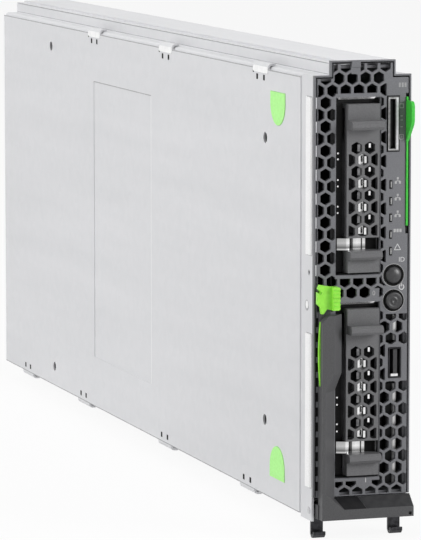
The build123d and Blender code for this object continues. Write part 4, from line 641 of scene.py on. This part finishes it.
SLOPE_LOW = (-6.0, 5.8)
SLOPE_HIGH = (-0.4, 10.7)
SLOPE_NORMAL = Vector((0, -(SLOPE_HIGH[1] - SLOPE_LOW[1]), SLOPE_HIGH[0] - SLOPE_LOW[0])).normalized()
SLOPE_SHARES = (0.03, 0.97)
FIELD_FOOT, FIELD_HEAD, FIELD_SHEET = (0.7, 22.2), (-1.8, 22.2), 0.08
PLATE_FOOT, PLATE_HEAD, PLATE_SHEET = (-9.8, 0.4), (-12.9, -2.1), 0.12


def on_slope(x, share):
    """Point on the bar's sloped face, from its lower edge (0) to its upper edge (1)."""
    depth = SLOPE_LOW[0] + (SLOPE_HIGH[0] - SLOPE_LOW[0]) * share
    height = SLOPE_LOW[1] + (SLOPE_HIGH[1] - SLOPE_LOW[1]) * share
    return at(x, depth, height)


def slope_plate(name, material, foot, head, thickness):
    """Thin plate on the sloped face, between the ends of its lower and its upper edge."""
    outline = [on_slope(x, SLOPE_SHARES[0]) for x in foot]
    outline += [on_slope(x, SLOPE_SHARES[1]) for x in reversed(head)]
    add_plate(name, "lever", "lever_plastic", material, outline, SLOPE_NORMAL, thickness)


slope_plate("name_field", FIELD_BLACK, FIELD_FOOT, FIELD_HEAD, FIELD_SHEET)
slope_plate("bare_plate", PLATE_BLACK, PLATE_FOOT, PLATE_HEAD, PLATE_SHEET)

# Spot, dimple and rivet on the front strip: material, depth, height, radius and thickness; the dimple is
# painted, a grey disc of painted shade under a smaller disc of painted highlight

STRIP_DISCS = {
    "strip_spot": (SEAM_AND_SHADE_GREY, 6.4, 110.0, 1.3, 0.05),
    "strip_spot_core": (SLOT_SHADE, 6.0, 110.2, 0.7, 0.08),
    "strip_dimple": (SEAM_AND_SHADE_GREY, 9.0, 95.2, 2.4, 0.05),
    "strip_dimple_highlight": (HIGHLIGHT_WHITE, 8.6, 95.6, 1.7, 0.15),
    "strip_rivet": (MATERIALS["pin_steel"], 5.1, 4.6, 1.5, 0.4),
}
for name, (material, depth, height, radius, thickness) in STRIP_DISCS.items():
    disc(name, "galvanised", material, at(LEFT_X, depth, height), LEFT, radius, thickness)

# Bright steel lip under the upper edge of each bay, studs on the guide beside each drive

BRIGHT_STEEL = MATERIALS["bright_steel"]
BAY_MARGIN = 2.6
BAY_LIP_X, BAY_LIP_TAPER, BAY_LIP_SHEET = (-11.9, 5.9), 0.7, 0.1
BAY_LIP_DEPTH, BAY_LIP_RISE, BAY_LIP_DROP = 0.5, 0.35, 0.55
BAY_LIP_NORMAL = Vector((0, -0.9, -0.5)).normalized()
STUD_PLACE, STUD_RADIUS, STUD_LIFT = (-9.8, 5.0), 0.4, 0.2
STUD_RISE = {"upper": (26.2, 29.0, 37.9, 40.7, 49.8, 52.4), "lower": (19.4, 22.6, 31.3, 34.5)}

for place in ("upper", "lower"):
    carrier_low, carrier_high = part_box(f"{place}_carrier")
    bay_top = height_of(carrier_high[2]) + BAY_MARGIN
    bay_low = height_of(carrier_low[2])
    lip_outline = [
        at(BAY_LIP_X[0], 0, bay_top + BAY_LIP_RISE),
        at(BAY_LIP_X[0] + BAY_LIP_TAPER, BAY_LIP_DEPTH, bay_top - BAY_LIP_DROP),
        at(BAY_LIP_X[1] - BAY_LIP_TAPER, BAY_LIP_DEPTH, bay_top - BAY_LIP_DROP),
        at(BAY_LIP_X[1], 0, bay_top + BAY_LIP_RISE),
    ]
    lip_name = f"{place}_bay_lip"
    add_plate(lip_name, "chassis", "bright_steel", BRIGHT_STEEL, lip_outline, BAY_LIP_NORMAL, BAY_LIP_SHEET)
    for index, rise in enumerate(STUD_RISE[place]):
        stud = at(*STUD_PLACE, bay_low + rise)
        disc(f"{place}_stud_{index}", "bright_steel", BRIGHT_STEEL, stud, FRONT, STUD_RADIUS, STUD_LIFT)

# Flat bars on faces and in the depth of openings


def thin_bars(name, body, slot, material, boxes, place, thickness):
    """Thin plates in one mesh; each box is start, end, low and high, set out by a place function."""
    vertices = []
    faces = []
    for start, end, low, high in boxes:
        first = len(vertices)
        for lift in (thickness, 0):
            vertices += [place(start, low, lift), place(end, low, lift)]
            vertices += [place(end, high, lift), place(start, high, lift)]
        block = [(0, 1, 2, 3), (7, 6, 5, 4)] + [(i, 4 + i, 4 + (i + 1) % 4, (i + 1) % 4) for i in range(4)]
        faces += [tuple(first + index for index in face) for face in block]
    piece = add_mesh(name, body, slot, material, vertices, faces)
    face_outward(piece)
    return piece


def flat_bars(name, body, slot, material, boxes, depth, thickness=0.05):
    """Thin plates that look forward; each box is its left, right, low and high edge."""

    def place(x, height, lift):
        return at(x, depth - lift, height)

    return thin_bars(name, body, slot, material, boxes, place, thickness)


def side_bars(name, body, slot, material, boxes, x, thickness=0.05):
    """Thin plates that look left; each box is its front, rear, low and high edge."""

    def place(depth, height, lift):
        return at(x - lift, depth, height)

    return thin_bars(name, body, slot, material, boxes, place, thickness)


# Shield bars in the carriers' cells, their edges in painted shade, painted shade beside them, and plates of
# painted shade in the dark openings beside the springs

CELL_X, CELL_RISE, CELL_PITCH, CELL_ROW, CELL_ROWS = 0.25, 18.3, 6.14, 5.23, 8
CELL_RIGHT, CELL_LEFT = CELL_X + CELL_PITCH / 2, CELL_X - CELL_PITCH / 2
MIDDLE_BAR = (CELL_X + 0.75, CELL_X + 1.75)
RIGHT_BAR = (CELL_RIGHT - 0.3, CELL_RIGHT + 0.6)
LEFT_EDGE = (CELL_LEFT + 0.6, CELL_LEFT + 1.9)
BAR_HALF, RIGHT_BAR_RISE, BAR_DEPTH = 1.5, 1.9, 0.7
SHIELD_RIGHT, SHIELD_RISE = (1.35, 2.9), (16.9, 57.7)
OPENING_X, OPENING_RISE, OPENING_KEEP = (1.9, 7.4), (10.1, 15.3), 0.25
CARRIER_FACE = 3.0
SHADE_DEPTH, SHADE_SHEET = CARRIER_FACE - 0.02, 0.03

for place in ("upper", "lower"):
    bay_low = height_of(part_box(f"{place}_carrier")[0][2])
    rows = [bay_low + CELL_RISE + CELL_ROW * row for row in range(CELL_ROWS)]
    bright = [(*MIDDLE_BAR, row - BAR_HALF, row + BAR_HALF) for row in rows[0::2]]
    bright += [(*RIGHT_BAR, row, row + RIGHT_BAR_RISE) for row in rows[1::2]]
    dim = [(*LEFT_EDGE, row - BAR_HALF, row + BAR_HALF) for row in rows[1::2]]
    shade = [(*SHIELD_RIGHT, bay_low + SHIELD_RISE[0], bay_low + SHIELD_RISE[1])]
    opening = [(*OPENING_X, bay_low + OPENING_RISE[0], bay_low + OPENING_RISE[1])]
    tray = f"{place}_tray"
    flat_bars(f"{place}_shield_bars", tray, "bright_steel", BRIGHT_STEEL, bright, BAR_DEPTH)
    # Edges of the shield in painted shade
    flat_bars(f"{place}_shield_shaded_edges", tray, "bright_steel", SHADED_STEEL, dim, BAR_DEPTH)
    dark = ("black_insulator", SLOT_SHADE)
    flat_bars(f"{place}_shield_shade", tray, *dark, shade, SHADE_DEPTH, SHADE_SHEET)
    # Plate of painted shade in the opening beside each spring
    plate = flat_bars(f"{place}_opening", tray, *dark, opening, SHADE_DEPTH, SHADE_SHEET)
    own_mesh(plate)

# Painted shadow along the groove inside the bezel's rim, bright gaps in it beside the cells, and dark notches
# of painted shade beside the lever

RIDGE_RISE, RIDGE_INSET = 6.4, 7.4
HALF_WIDTH = -LEFT_X
TOTAL_HEIGHT = height_of(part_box("front_bezel")[1][2])
BODY_HEIGHT = TOTAL_HEIGHT - RIDGE_RISE
RIDGE_HALF = HALF_WIDTH - RIDGE_INSET
RIM, GROOVE, GROOVE_DEPTH, GROOVE_LOW, GROOVE_PLAY = 0.75, 0.6, 1.0, 14.0, 0.02
FIRST_CELL, CELL_STEP = BODY_HEIGHT - 11.9, 2 * CELL_ROW
GAP_COUNT, GAP_HALF, GAP_DEPTH, GAP_PLAY = 8, 2.4, 0.25, 0.05
NOTCH_PITCH, NOTCH_LENGTH, NOTCH_COUNT, NOTCH_REACH = 6.6, 4.0, 12, 2.1


def rim_corners(inset):
    """Corners along the bezel's outline, set in from its edge, from the right foot to the left foot."""
    side, ridge = HALF_WIDTH - inset, RIDGE_HALF - inset
    shoulder, top = BODY_HEIGHT - inset, TOTAL_HEIGHT - inset
    right = [(side, GROOVE_LOW), (side, shoulder), (ridge, shoulder), (ridge, top)]
    left = [(-x, height) for x, height in reversed(right)]
    return right + left


outer_rim, inner_rim = rim_corners(RIM + GROOVE_PLAY), rim_corners(RIM + GROOVE - GROOVE_PLAY)
count = len(outer_rim)
groove_points = [at(x, GROOVE_DEPTH, height) for x, height in outer_rim + inner_rim]
groove_faces = [(i, i + 1, count + i + 1, count + i) for i in range(count - 1)]
# Dark ring of painted shadow along the groove
add_mesh("rim_groove_shade", "chassis", "black_insulator", SLOT_SHADE, groove_points, groove_faces)
gap_x = (LEFT_X + RIM + GAP_PLAY, LEFT_X + RIM + GROOVE - GAP_PLAY)
gap_rows = [FIRST_CELL - CELL_STEP * row for row in range(GAP_COUNT)]
gaps = [(*gap_x, row - GAP_HALF, row + GAP_HALF) for row in gap_rows]
flat_bars("rim_gaps", "chassis", "galvanised", MATERIALS["galvanised"], gaps, GAP_DEPTH)
notch_x = (LEFT_X + RIM + GAP_PLAY, LEFT_X + NOTCH_REACH)
notch_rows = [GROOVE_LOW + NOTCH_PITCH * row for row in range(NOTCH_COUNT)]
notches = [(*notch_x, row, row + NOTCH_LENGTH) for row in notch_rows]
# Dark notches of painted shade beside the lever
flat_bars("lever_notch_shade", "chassis", "black_insulator", SLOT_SHADE, notches, 0.0)

# Cover: painted shade on the slots at its tabs, pale painted highlights on the tabs' lips with painted shade at
# their ends, fine grey lines at its fold lines and along the ridge, and painted shade and a painted highlight
# at the label field's edges

COVER_LOW, COVER_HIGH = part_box("side_cover")
COVER_FRONT, COVER_REAR = depth_of(COVER_LOW[1]), depth_of(COVER_HIGH[1])
COVER_EDGE = {"top": BODY_HEIGHT - 1.4, "bottom": 1.2}
LAST_TAB = COVER_REAR - 46.0
COVER_TABS = {"top": (72.5, 215.6, 338.0), "bottom": (91.0, 218.0, 360.0, LAST_TAB)}
SLOT_ROWS = {"top": BODY_HEIGHT - 5.4, "bottom": 4.5}
SLOT_PITCH, SLOT_WIDTH, SLOT_HEIGHT = 9.5, 2.3, 2.5
TAB_LIP_HALF, TAB_LIP_STEPS, TAB_LIP_SHEET = 10.4, 10, 0.2
TAB_LIP_LOW, TAB_LIP_HIGH = BODY_HEIGHT - 3.3, BODY_HEIGHT - 0.4
TAB_CORNER_ALONG, TAB_CORNER_RISE = (-1.2, 0.4), (-0.5, 0.4)
LINE, LINE_SHEET = 0.45, 0.02
LABEL_DEPTH, LABEL_RISE = (239.8, 339.4), (27.2, 170.2)
RIDGE_LINE_DEPTH = (RIM_DEPTH + 0.5, COVER_REAR - 1.0)
RIDGE_LINE_RISE = ((TOTAL_HEIGHT - 1.4, TOTAL_HEIGHT - 1.0), (BODY_HEIGHT + 0.05, BODY_HEIGHT + 0.6))

slots = []
for edge, centres in COVER_TABS.items():
    for middle in (centre + side * SLOT_PITCH / 2 for centre in centres for side in (-1, 1)):
        low = SLOT_ROWS[edge] - SLOT_HEIGHT / 2
        slots.append((middle - SLOT_WIDTH / 2, middle + SLOT_WIDTH / 2, low, low + SLOT_HEIGHT))
# Plates of painted shade on the slots at the tabs
side_bars("cover_slot_shade", "cover", "black_insulator", SLOT_SHADE, slots, LEFT_X)


def tab_lip_highlight(name, centre):
    """Pale round-ended painted highlight on the lip of a top tab."""
    middle, half_height = (TAB_LIP_LOW + TAB_LIP_HIGH) / 2, (TAB_LIP_HIGH - TAB_LIP_LOW) / 2
    outline = []
    for end in (-1, 1):
        for step in range(TAB_LIP_STEPS + 1):
            angle = math.pi * (step / TAB_LIP_STEPS - 0.5)
            along = end * (TAB_LIP_HALF - half_height + half_height * math.cos(angle))
            outline.append(at(LEFT_X, centre + along, middle + end * half_height * math.sin(angle)))
    add_plate(name, "cover", "galvanised", HIGHLIGHT_WHITE, outline, LEFT, TAB_LIP_SHEET)


# Painted highlights on the curled lips of the top tabs
for index, centre in enumerate(COVER_TABS["top"]):
    tab_lip_highlight(f"tab_lip_highlight_{index}", centre)
# Dots of painted shade at the rear ends of the top tabs' lips
corner_rise = [TAB_LIP_LOW + rise for rise in TAB_CORNER_RISE]
corner_ends = [[centre + TAB_LIP_HALF + along for along in TAB_CORNER_ALONG] for centre in COVER_TABS["top"]]
corner_shade_dots = [(*ends, *corner_rise) for ends in corner_ends]
side_bars("tab_corner_shade", "cover", "black_insulator", SLOT_SHADE, corner_shade_dots, LEFT_X)
# Grey lines along the cover's fold lines, and a line of painted shade along the label field's top edge
seam_and_shade_lines = [(COVER_FRONT, COVER_REAR, COVER_EDGE["top"] - LINE, COVER_EDGE["top"])]
seam_and_shade_lines += [(COVER_FRONT, COVER_REAR, COVER_EDGE["bottom"], COVER_EDGE["bottom"] + LINE)]
seam_and_shade_lines += [(*LABEL_DEPTH, LABEL_RISE[1], LABEL_RISE[1] + LINE)]
side_bars("cover_lines", "cover", "galvanised", SEAM_AND_SHADE_GREY, seam_and_shade_lines, LEFT_X, LINE_SHEET)
# Painted highlight along the label field's front edge
label_highlight_edges = [(LABEL_DEPTH[0] - LINE, LABEL_DEPTH[0], *LABEL_RISE)]
side_bars("label_edge_highlight", "cover", "galvanised", HIGHLIGHT_WHITE, label_highlight_edges, LEFT_X, LINE_SHEET)
# A grey seam line along the top of the ridge, and a line of painted shade along its foot
ridge_lines = [(*RIDGE_LINE_DEPTH, *rise) for rise in RIDGE_LINE_RISE]
side_bars("ridge_line", "chassis", "galvanised", SEAM_AND_SHADE_GREY, ridge_lines, -RIDGE_HALF, LINE_SHEET)

# Grey seams round the gaskets on the front strip

GASKET_DEPTH = (2.6, 9.5)
GASKETS = ((15.0, 83.0), (BODY_HEIGHT - 78.6, BODY_HEIGHT - 9.6))
seams = [(GASKET_DEPTH[1], GASKET_DEPTH[1] + LINE, low, high) for low, high in GASKETS]
seams += [(GASKET_DEPTH[0] - LINE, GASKET_DEPTH[0], low, high) for low, high in GASKETS]
seams += [(*GASKET_DEPTH, low - LINE, low) for low, high in GASKETS]
seams += [(*GASKET_DEPTH, high, high + LINE) for low, high in GASKETS]
side_bars("gasket_seams", "chassis", "galvanised", SEAM_AND_SHADE_GREY, seams, LEFT_X, LINE_SHEET)

# Strip of painted highlight and painted shade bands on the baffle's lip behind the lower cells, clear of the
# memory stick socket

STRIP_OVER, STRIP_PAST, STRIP_CLEAR = 0.9, 2.0, 9.65
STICK_MIDDLE = 69.3
baffle_low, baffle_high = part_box("front_baffle")
strip_x = (baffle_high[0] / MM - STRIP_OVER, baffle_high[0] / MM + STRIP_PAST)
strip_rows = [
    (height_of(baffle_low[2]), STICK_MIDDLE - STRIP_CLEAR),
    (STICK_MIDDLE + STRIP_CLEAR, height_of(baffle_high[2])),
]
strips = [(*strip_x, low, high) for low, high in strip_rows]
flat_bars("baffle_painted_light_strip", "chassis", "galvanised", STRIP_PAINTED_LIGHT, strips, depth_of(baffle_low[1]))

# Pale bars of painted highlight at the edges of the status light windows

LIGHT_BAR_X, LIGHT_BAR_HALF = (13.1, 13.55), 1.3
window_front = depth_of(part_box("status_lights")[0][1])
light_rows = [LIGHT_HIGH - LIGHT_PITCH * index for index in range(LIGHT_COUNT)]
light_window_highlights = [(*LIGHT_BAR_X, row - LIGHT_BAR_HALF, row + LIGHT_BAR_HALF) for row in light_rows]
flat_bars("light_window_highlights", "chassis", "light_pipe", PRINT_AND_HIGHLIGHT_GREY, light_window_highlights, window_front)

# Console socket: a bright band and edges of painted highlight on its face, and a dark outline of painted shade
# round it

CONSOLE_LINE, CONSOLE_BAND, CONSOLE_EDGE, CONSOLE_END = 0.45, 0.95, 0.3, 0.5
CONSOLE_LEFT_MARGIN, CONSOLE_MARGIN = 0.1, 0.4
console_low, console_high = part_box("console_shell")
console_left, console_right = console_low[0] / MM, console_high[0] / MM
console_rise = (height_of(console_low[2]), height_of(console_high[2]))
console_front = depth_of(console_low[1])
lit_left, lit_right = console_left + CONSOLE_LEFT_MARGIN, console_right - CONSOLE_MARGIN
lit_low, lit_high = console_rise[0] + CONSOLE_MARGIN, console_rise[1] - CONSOLE_MARGIN
bands = [(lit_right - CONSOLE_BAND, lit_right, lit_low, lit_high)]
flat_bars("console_highlight_band", "chassis", "bright_steel", MATERIALS["pin_steel"], bands, console_front)
between = (lit_left + CONSOLE_EDGE, lit_right - CONSOLE_BAND)
edges = [
    (lit_left, lit_left + CONSOLE_EDGE, lit_low, lit_high),
    (*between, lit_low, lit_low + CONSOLE_END),
    (*between, lit_high - CONSOLE_END, lit_high),
]
flat_bars("console_highlight_edges", "chassis", "bright_steel", CONSOLE_HIGHLIGHT_GREY, edges, console_front)
across = (console_left - CONSOLE_LINE, console_right + CONSOLE_LINE)
outlines = [
    (across[0], console_left, *console_rise),
    (console_right, across[1], *console_rise),
    (*across, console_rise[0] - CONSOLE_LINE, console_rise[0]),
    (*across, console_rise[1], console_rise[1] + CONSOLE_LINE),
]
flat_bars("console_shade_outline", "chassis", "black_insulator", SLOT_SHADE, outlines, 0.0)

# Bright bar of painted highlight at the foot of the memory stick socket

USB_HIGHLIGHT_MARGIN, USB_HIGHLIGHT_RISE, USB_HIGHLIGHT_DEPTH = 1.2, (0.6, 1.7), 0.4
usb_low, usb_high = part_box("usb_shell")
usb_highlight_x = (usb_low[0] / MM + USB_HIGHLIGHT_MARGIN, usb_high[0] / MM - USB_HIGHLIGHT_MARGIN)
usb_foot_highlight = [(*usb_highlight_x, *(height_of(usb_low[2]) + rise for rise in USB_HIGHLIGHT_RISE))]
flat_bars("usb_foot_highlight", "chassis", "bright_steel", BRIGHT_STEEL, usb_foot_highlight, USB_HIGHLIGHT_DEPTH)

# Slim leaf beside the lever's arm, which runs out to an edge at both ends

LEAF_STEPS, LEAF_BULGE, LEAF_SHARE = 16, 0.7, 0.5
LEAF_MERGE = 1e-6


def bar_faces(steps):
    """Faces of a closed bar whose four-cornered sections follow each other."""
    last = 4 * steps
    faces = [(0, 1, 2, 3), tuple(last + i for i in (3, 2, 1, 0))]
    for near in range(0, last, 4):
        faces += [(near + i, near + (i + 1) % 4, near + 4 + (i + 1) % 4, near + 4 + i) for i in range(4)]
    return faces


def drop_empty_faces(piece):
    """Remove the faces without area at the ends of a piece that runs out to an edge."""
    shell = bmesh.new()
    shell.from_mesh(piece.data)
    bmesh.ops.dissolve_degenerate(shell, dist=LEAF_MERGE, edges=shell.edges)
    shell.to_mesh(piece.data)
    shell.free()


leaf_low, leaf_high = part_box("latch_leaf")
leaf_x, leaf_far = leaf_high[0], leaf_high[1]
leaf_near = leaf_high[1] - (leaf_high[1] - leaf_low[1]) * LEAF_SHARE
leaf_points = []
for step in range(LEAF_STEPS + 1):
    share = step / LEAF_STEPS
    x = leaf_x - LEAF_BULGE * MM * (1 - (2 * share - 1) ** 2)
    z = leaf_low[2] + (leaf_high[2] - leaf_low[2]) * share
    leaf_points += [(x, leaf_near, z), (leaf_x, leaf_near, z), (leaf_x, leaf_far, z), (x, leaf_far, z)]
lime = MATERIALS["lime_plastic"]
leaf = add_mesh("slim_leaf", "lever", "lime_plastic", lime, leaf_points, bar_faces(LEAF_STEPS))
drop_empty_faces(leaf)
face_outward(leaf)
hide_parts("latch_leaf")

# Folded springs over the pinch latches

SPRING_PATH = [(-11.0, 2.5), (-6.3, 0.5), (-4.4, 2.1), (-3.8, 1.2), (1.7, 1.2)]
SPRING_SHEET = 0.3
BEND_SHARE, BEND_STEPS = 0.35, 5


def rounded(path):
    """Path whose inner corners are replaced by short curves."""
    points = [Vector(path[0])]
    for before, corner, after in zip(path, path[1:], path[2:]):
        corner = Vector(corner)
        start = corner.lerp(Vector(before), BEND_SHARE)
        end = corner.lerp(Vector(after), BEND_SHARE)
        for step in range(BEND_STEPS + 1):
            share = step / BEND_STEPS
            points.append(start.lerp(corner, share).lerp(corner.lerp(end, share), share))
    return points + [Vector(path[-1])]


def folded_spring(place):
    """Folded strip in the CAD spring's box, which is squeezed as its latch is pressed."""
    low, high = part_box(f"{place}_latch_spring")
    foot, crown = height_of(low[2]), height_of(high[2])
    path = rounded(SPRING_PATH)
    vertices = []
    for index, (x, depth) in enumerate(path):
        along = path[min(index + 1, len(path) - 1)] - path[max(index - 1, 0)]
        back = Vector((-along.y, along.x)).normalized() * SPRING_SHEET
        vertices += [at(x, depth, foot), at(x, depth, crown)]
        vertices += [at(x + back.x, depth + back.y, crown), at(x + back.x, depth + back.y, foot)]
    name = f"{place}_folded_spring"
    faces = bar_faces(len(path) - 1)
    # The spring's grey bands are painted highlights and painted shade
    piece = add_mesh(name, f"{place}_tray", "bright_steel", SPRING_PAINTED_LIGHT, vertices, faces)
    face_outward(piece)
    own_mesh(piece)
    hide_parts(f"{place}_latch_spring")


folded_spring("upper")
folded_spring("lower")

# Stage: a white floor that keeps the object's shadow

WHITE = (1, 1, 1, 1)
FLOOR_SIZE = 30.0
FLOOR_COLOUR, FLOOR_ROUGH, FLOOR_GLOW = (0.8, 0.8, 0.8, 1), 0.9, 0.91


def seen_directly(tree_nodes, links):
    """1 for what the camera sees, also in metal and through glass; 0 for light that falls on surfaces."""
    path = tree_nodes.new("ShaderNodeLightPath")
    seen = path.outputs["Is Camera Ray"]
    for name in ("Is Glossy Ray", "Is Transmission Ray"):
        either = tree_nodes.new("ShaderNodeMath")
        either.operation = "MAXIMUM"
        links.new(seen, either.inputs[0])
        links.new(path.outputs[name], either.inputs[1])
        seen = either.outputs["Value"]
    return seen


def stage_material():
    """Pale matte floor, lifted to white where it is seen, which leaves its shadows faint."""
    material, tree_nodes, links, shader = new_material("stage_floor")
    shader.inputs["Base Color"].default_value = FLOOR_COLOUR
    shader.inputs["Roughness"].default_value = FLOOR_ROUGH
    glow = tree_nodes.new("ShaderNodeEmission")
    glow.inputs["Color"].default_value = WHITE
    share = tree_nodes.new("ShaderNodeMath")
    share.operation = "MULTIPLY"
    share.inputs[1].default_value = FLOOR_GLOW
    links.new(seen_directly(tree_nodes, links), share.inputs[0])
    choose = tree_nodes.new("ShaderNodeMixShader")
    links.new(share.outputs["Value"], choose.inputs["Fac"])
    links.new(shader.outputs["BSDF"], choose.inputs[1])
    links.new(glow.outputs["Emission"], choose.inputs[2])
    links.new(choose.outputs["Shader"], tree_nodes["Material Output"].inputs["Surface"])
    return material


floor_mesh = bpy.data.meshes.new("floor")
half = FLOOR_SIZE / 2
floor_corners = [(-half, -half, 0), (half, -half, 0), (half, half, 0), (-half, half, 0)]
floor_mesh.from_pydata(floor_corners, [], [(0, 1, 2, 3)])
floor_mesh.materials.append(stage_material())
floor = bpy.data.objects.new("floor", floor_mesh)
bpy.context.scene.collection.objects.link(floor)

# World and lights

ROOM_STRENGTH, PAPER_STRENGTH = 0.17, 1.0

world = bpy.data.worlds.new("studio")
bpy.context.scene.world = world
world.use_nodes = True
world_nodes = world.node_tree.nodes
world_links = world.node_tree.links
room = world_nodes["Background"]
room.inputs["Color"].default_value = WHITE
room.inputs["Strength"].default_value = ROOM_STRENGTH
paper = world_nodes.new("ShaderNodeBackground")
paper.inputs["Color"].default_value = WHITE
paper.inputs["Strength"].default_value = PAPER_STRENGTH
choose = world_nodes.new("ShaderNodeMixShader")
world_links.new(seen_directly(world_nodes, world_links), choose.inputs["Fac"])
world_links.new(room.outputs["Background"], choose.inputs[1])
world_links.new(paper.outputs["Background"], choose.inputs[2])
world_links.new(choose.outputs["Shader"], world_nodes["World Output"].inputs["Surface"])


def area_light(name, place, target, size, power):
    """Soft box aimed at a point."""
    light = bpy.data.lights.new(name, "AREA")
    light.shape = "SQUARE"
    light.size = size
    light.energy = power
    lamp = bpy.data.objects.new(name, light)
    direction = Vector(target) - Vector(place)
    lamp.matrix_world = Matrix.Translation(place) @ direction.to_track_quat("-Z", "Y").to_matrix().to_4x4()
    bpy.context.scene.collection.objects.link(lamp)


area_light("left_box", place=(-2.2, -0.3, 1.4), target=(0, 0, 0.1), size=1.8, power=44.0)
area_light("top_box", place=(-0.5, 0.7, 2.2), target=(0, 0.2, 0.1), size=1.4, power=13.0)
area_light("front_box", place=(0.62, -0.76, 0.42), target=(0, -0.26, 0.14), size=0.4, power=6.0)

# Camera at the photograph's angle

CAMERA_PLACE = at(-598.445, -1618.892, 320.988)
YAW = math.radians(18.08)
PITCH = 0.12118
FOCAL_PIXELS = 3966.35
PHOTO_SIZE = (421, 540)
SENSOR = 36.0
VIEW_LIMIT = 100.0

camera_data = bpy.data.cameras.new("camera")
camera_data.sensor_width = SENSOR
camera_data.lens = FOCAL_PIXELS * SENSOR / max(PHOTO_SIZE)
camera_data.clip_end = VIEW_LIMIT
camera = bpy.data.objects.new("camera", camera_data)
level = math.cos(PITCH)
look = Vector((math.sin(YAW) * level, math.cos(YAW) * level, -math.sin(PITCH)))
camera.matrix_world = Matrix.Translation(CAMERA_PLACE) @ look.to_track_quat("-Z", "Y").to_matrix().to_4x4()
bpy.context.scene.collection.objects.link(camera)
bpy.context.scene.camera = camera
bpy.context.scene.view_settings.view_transform = "Standard"
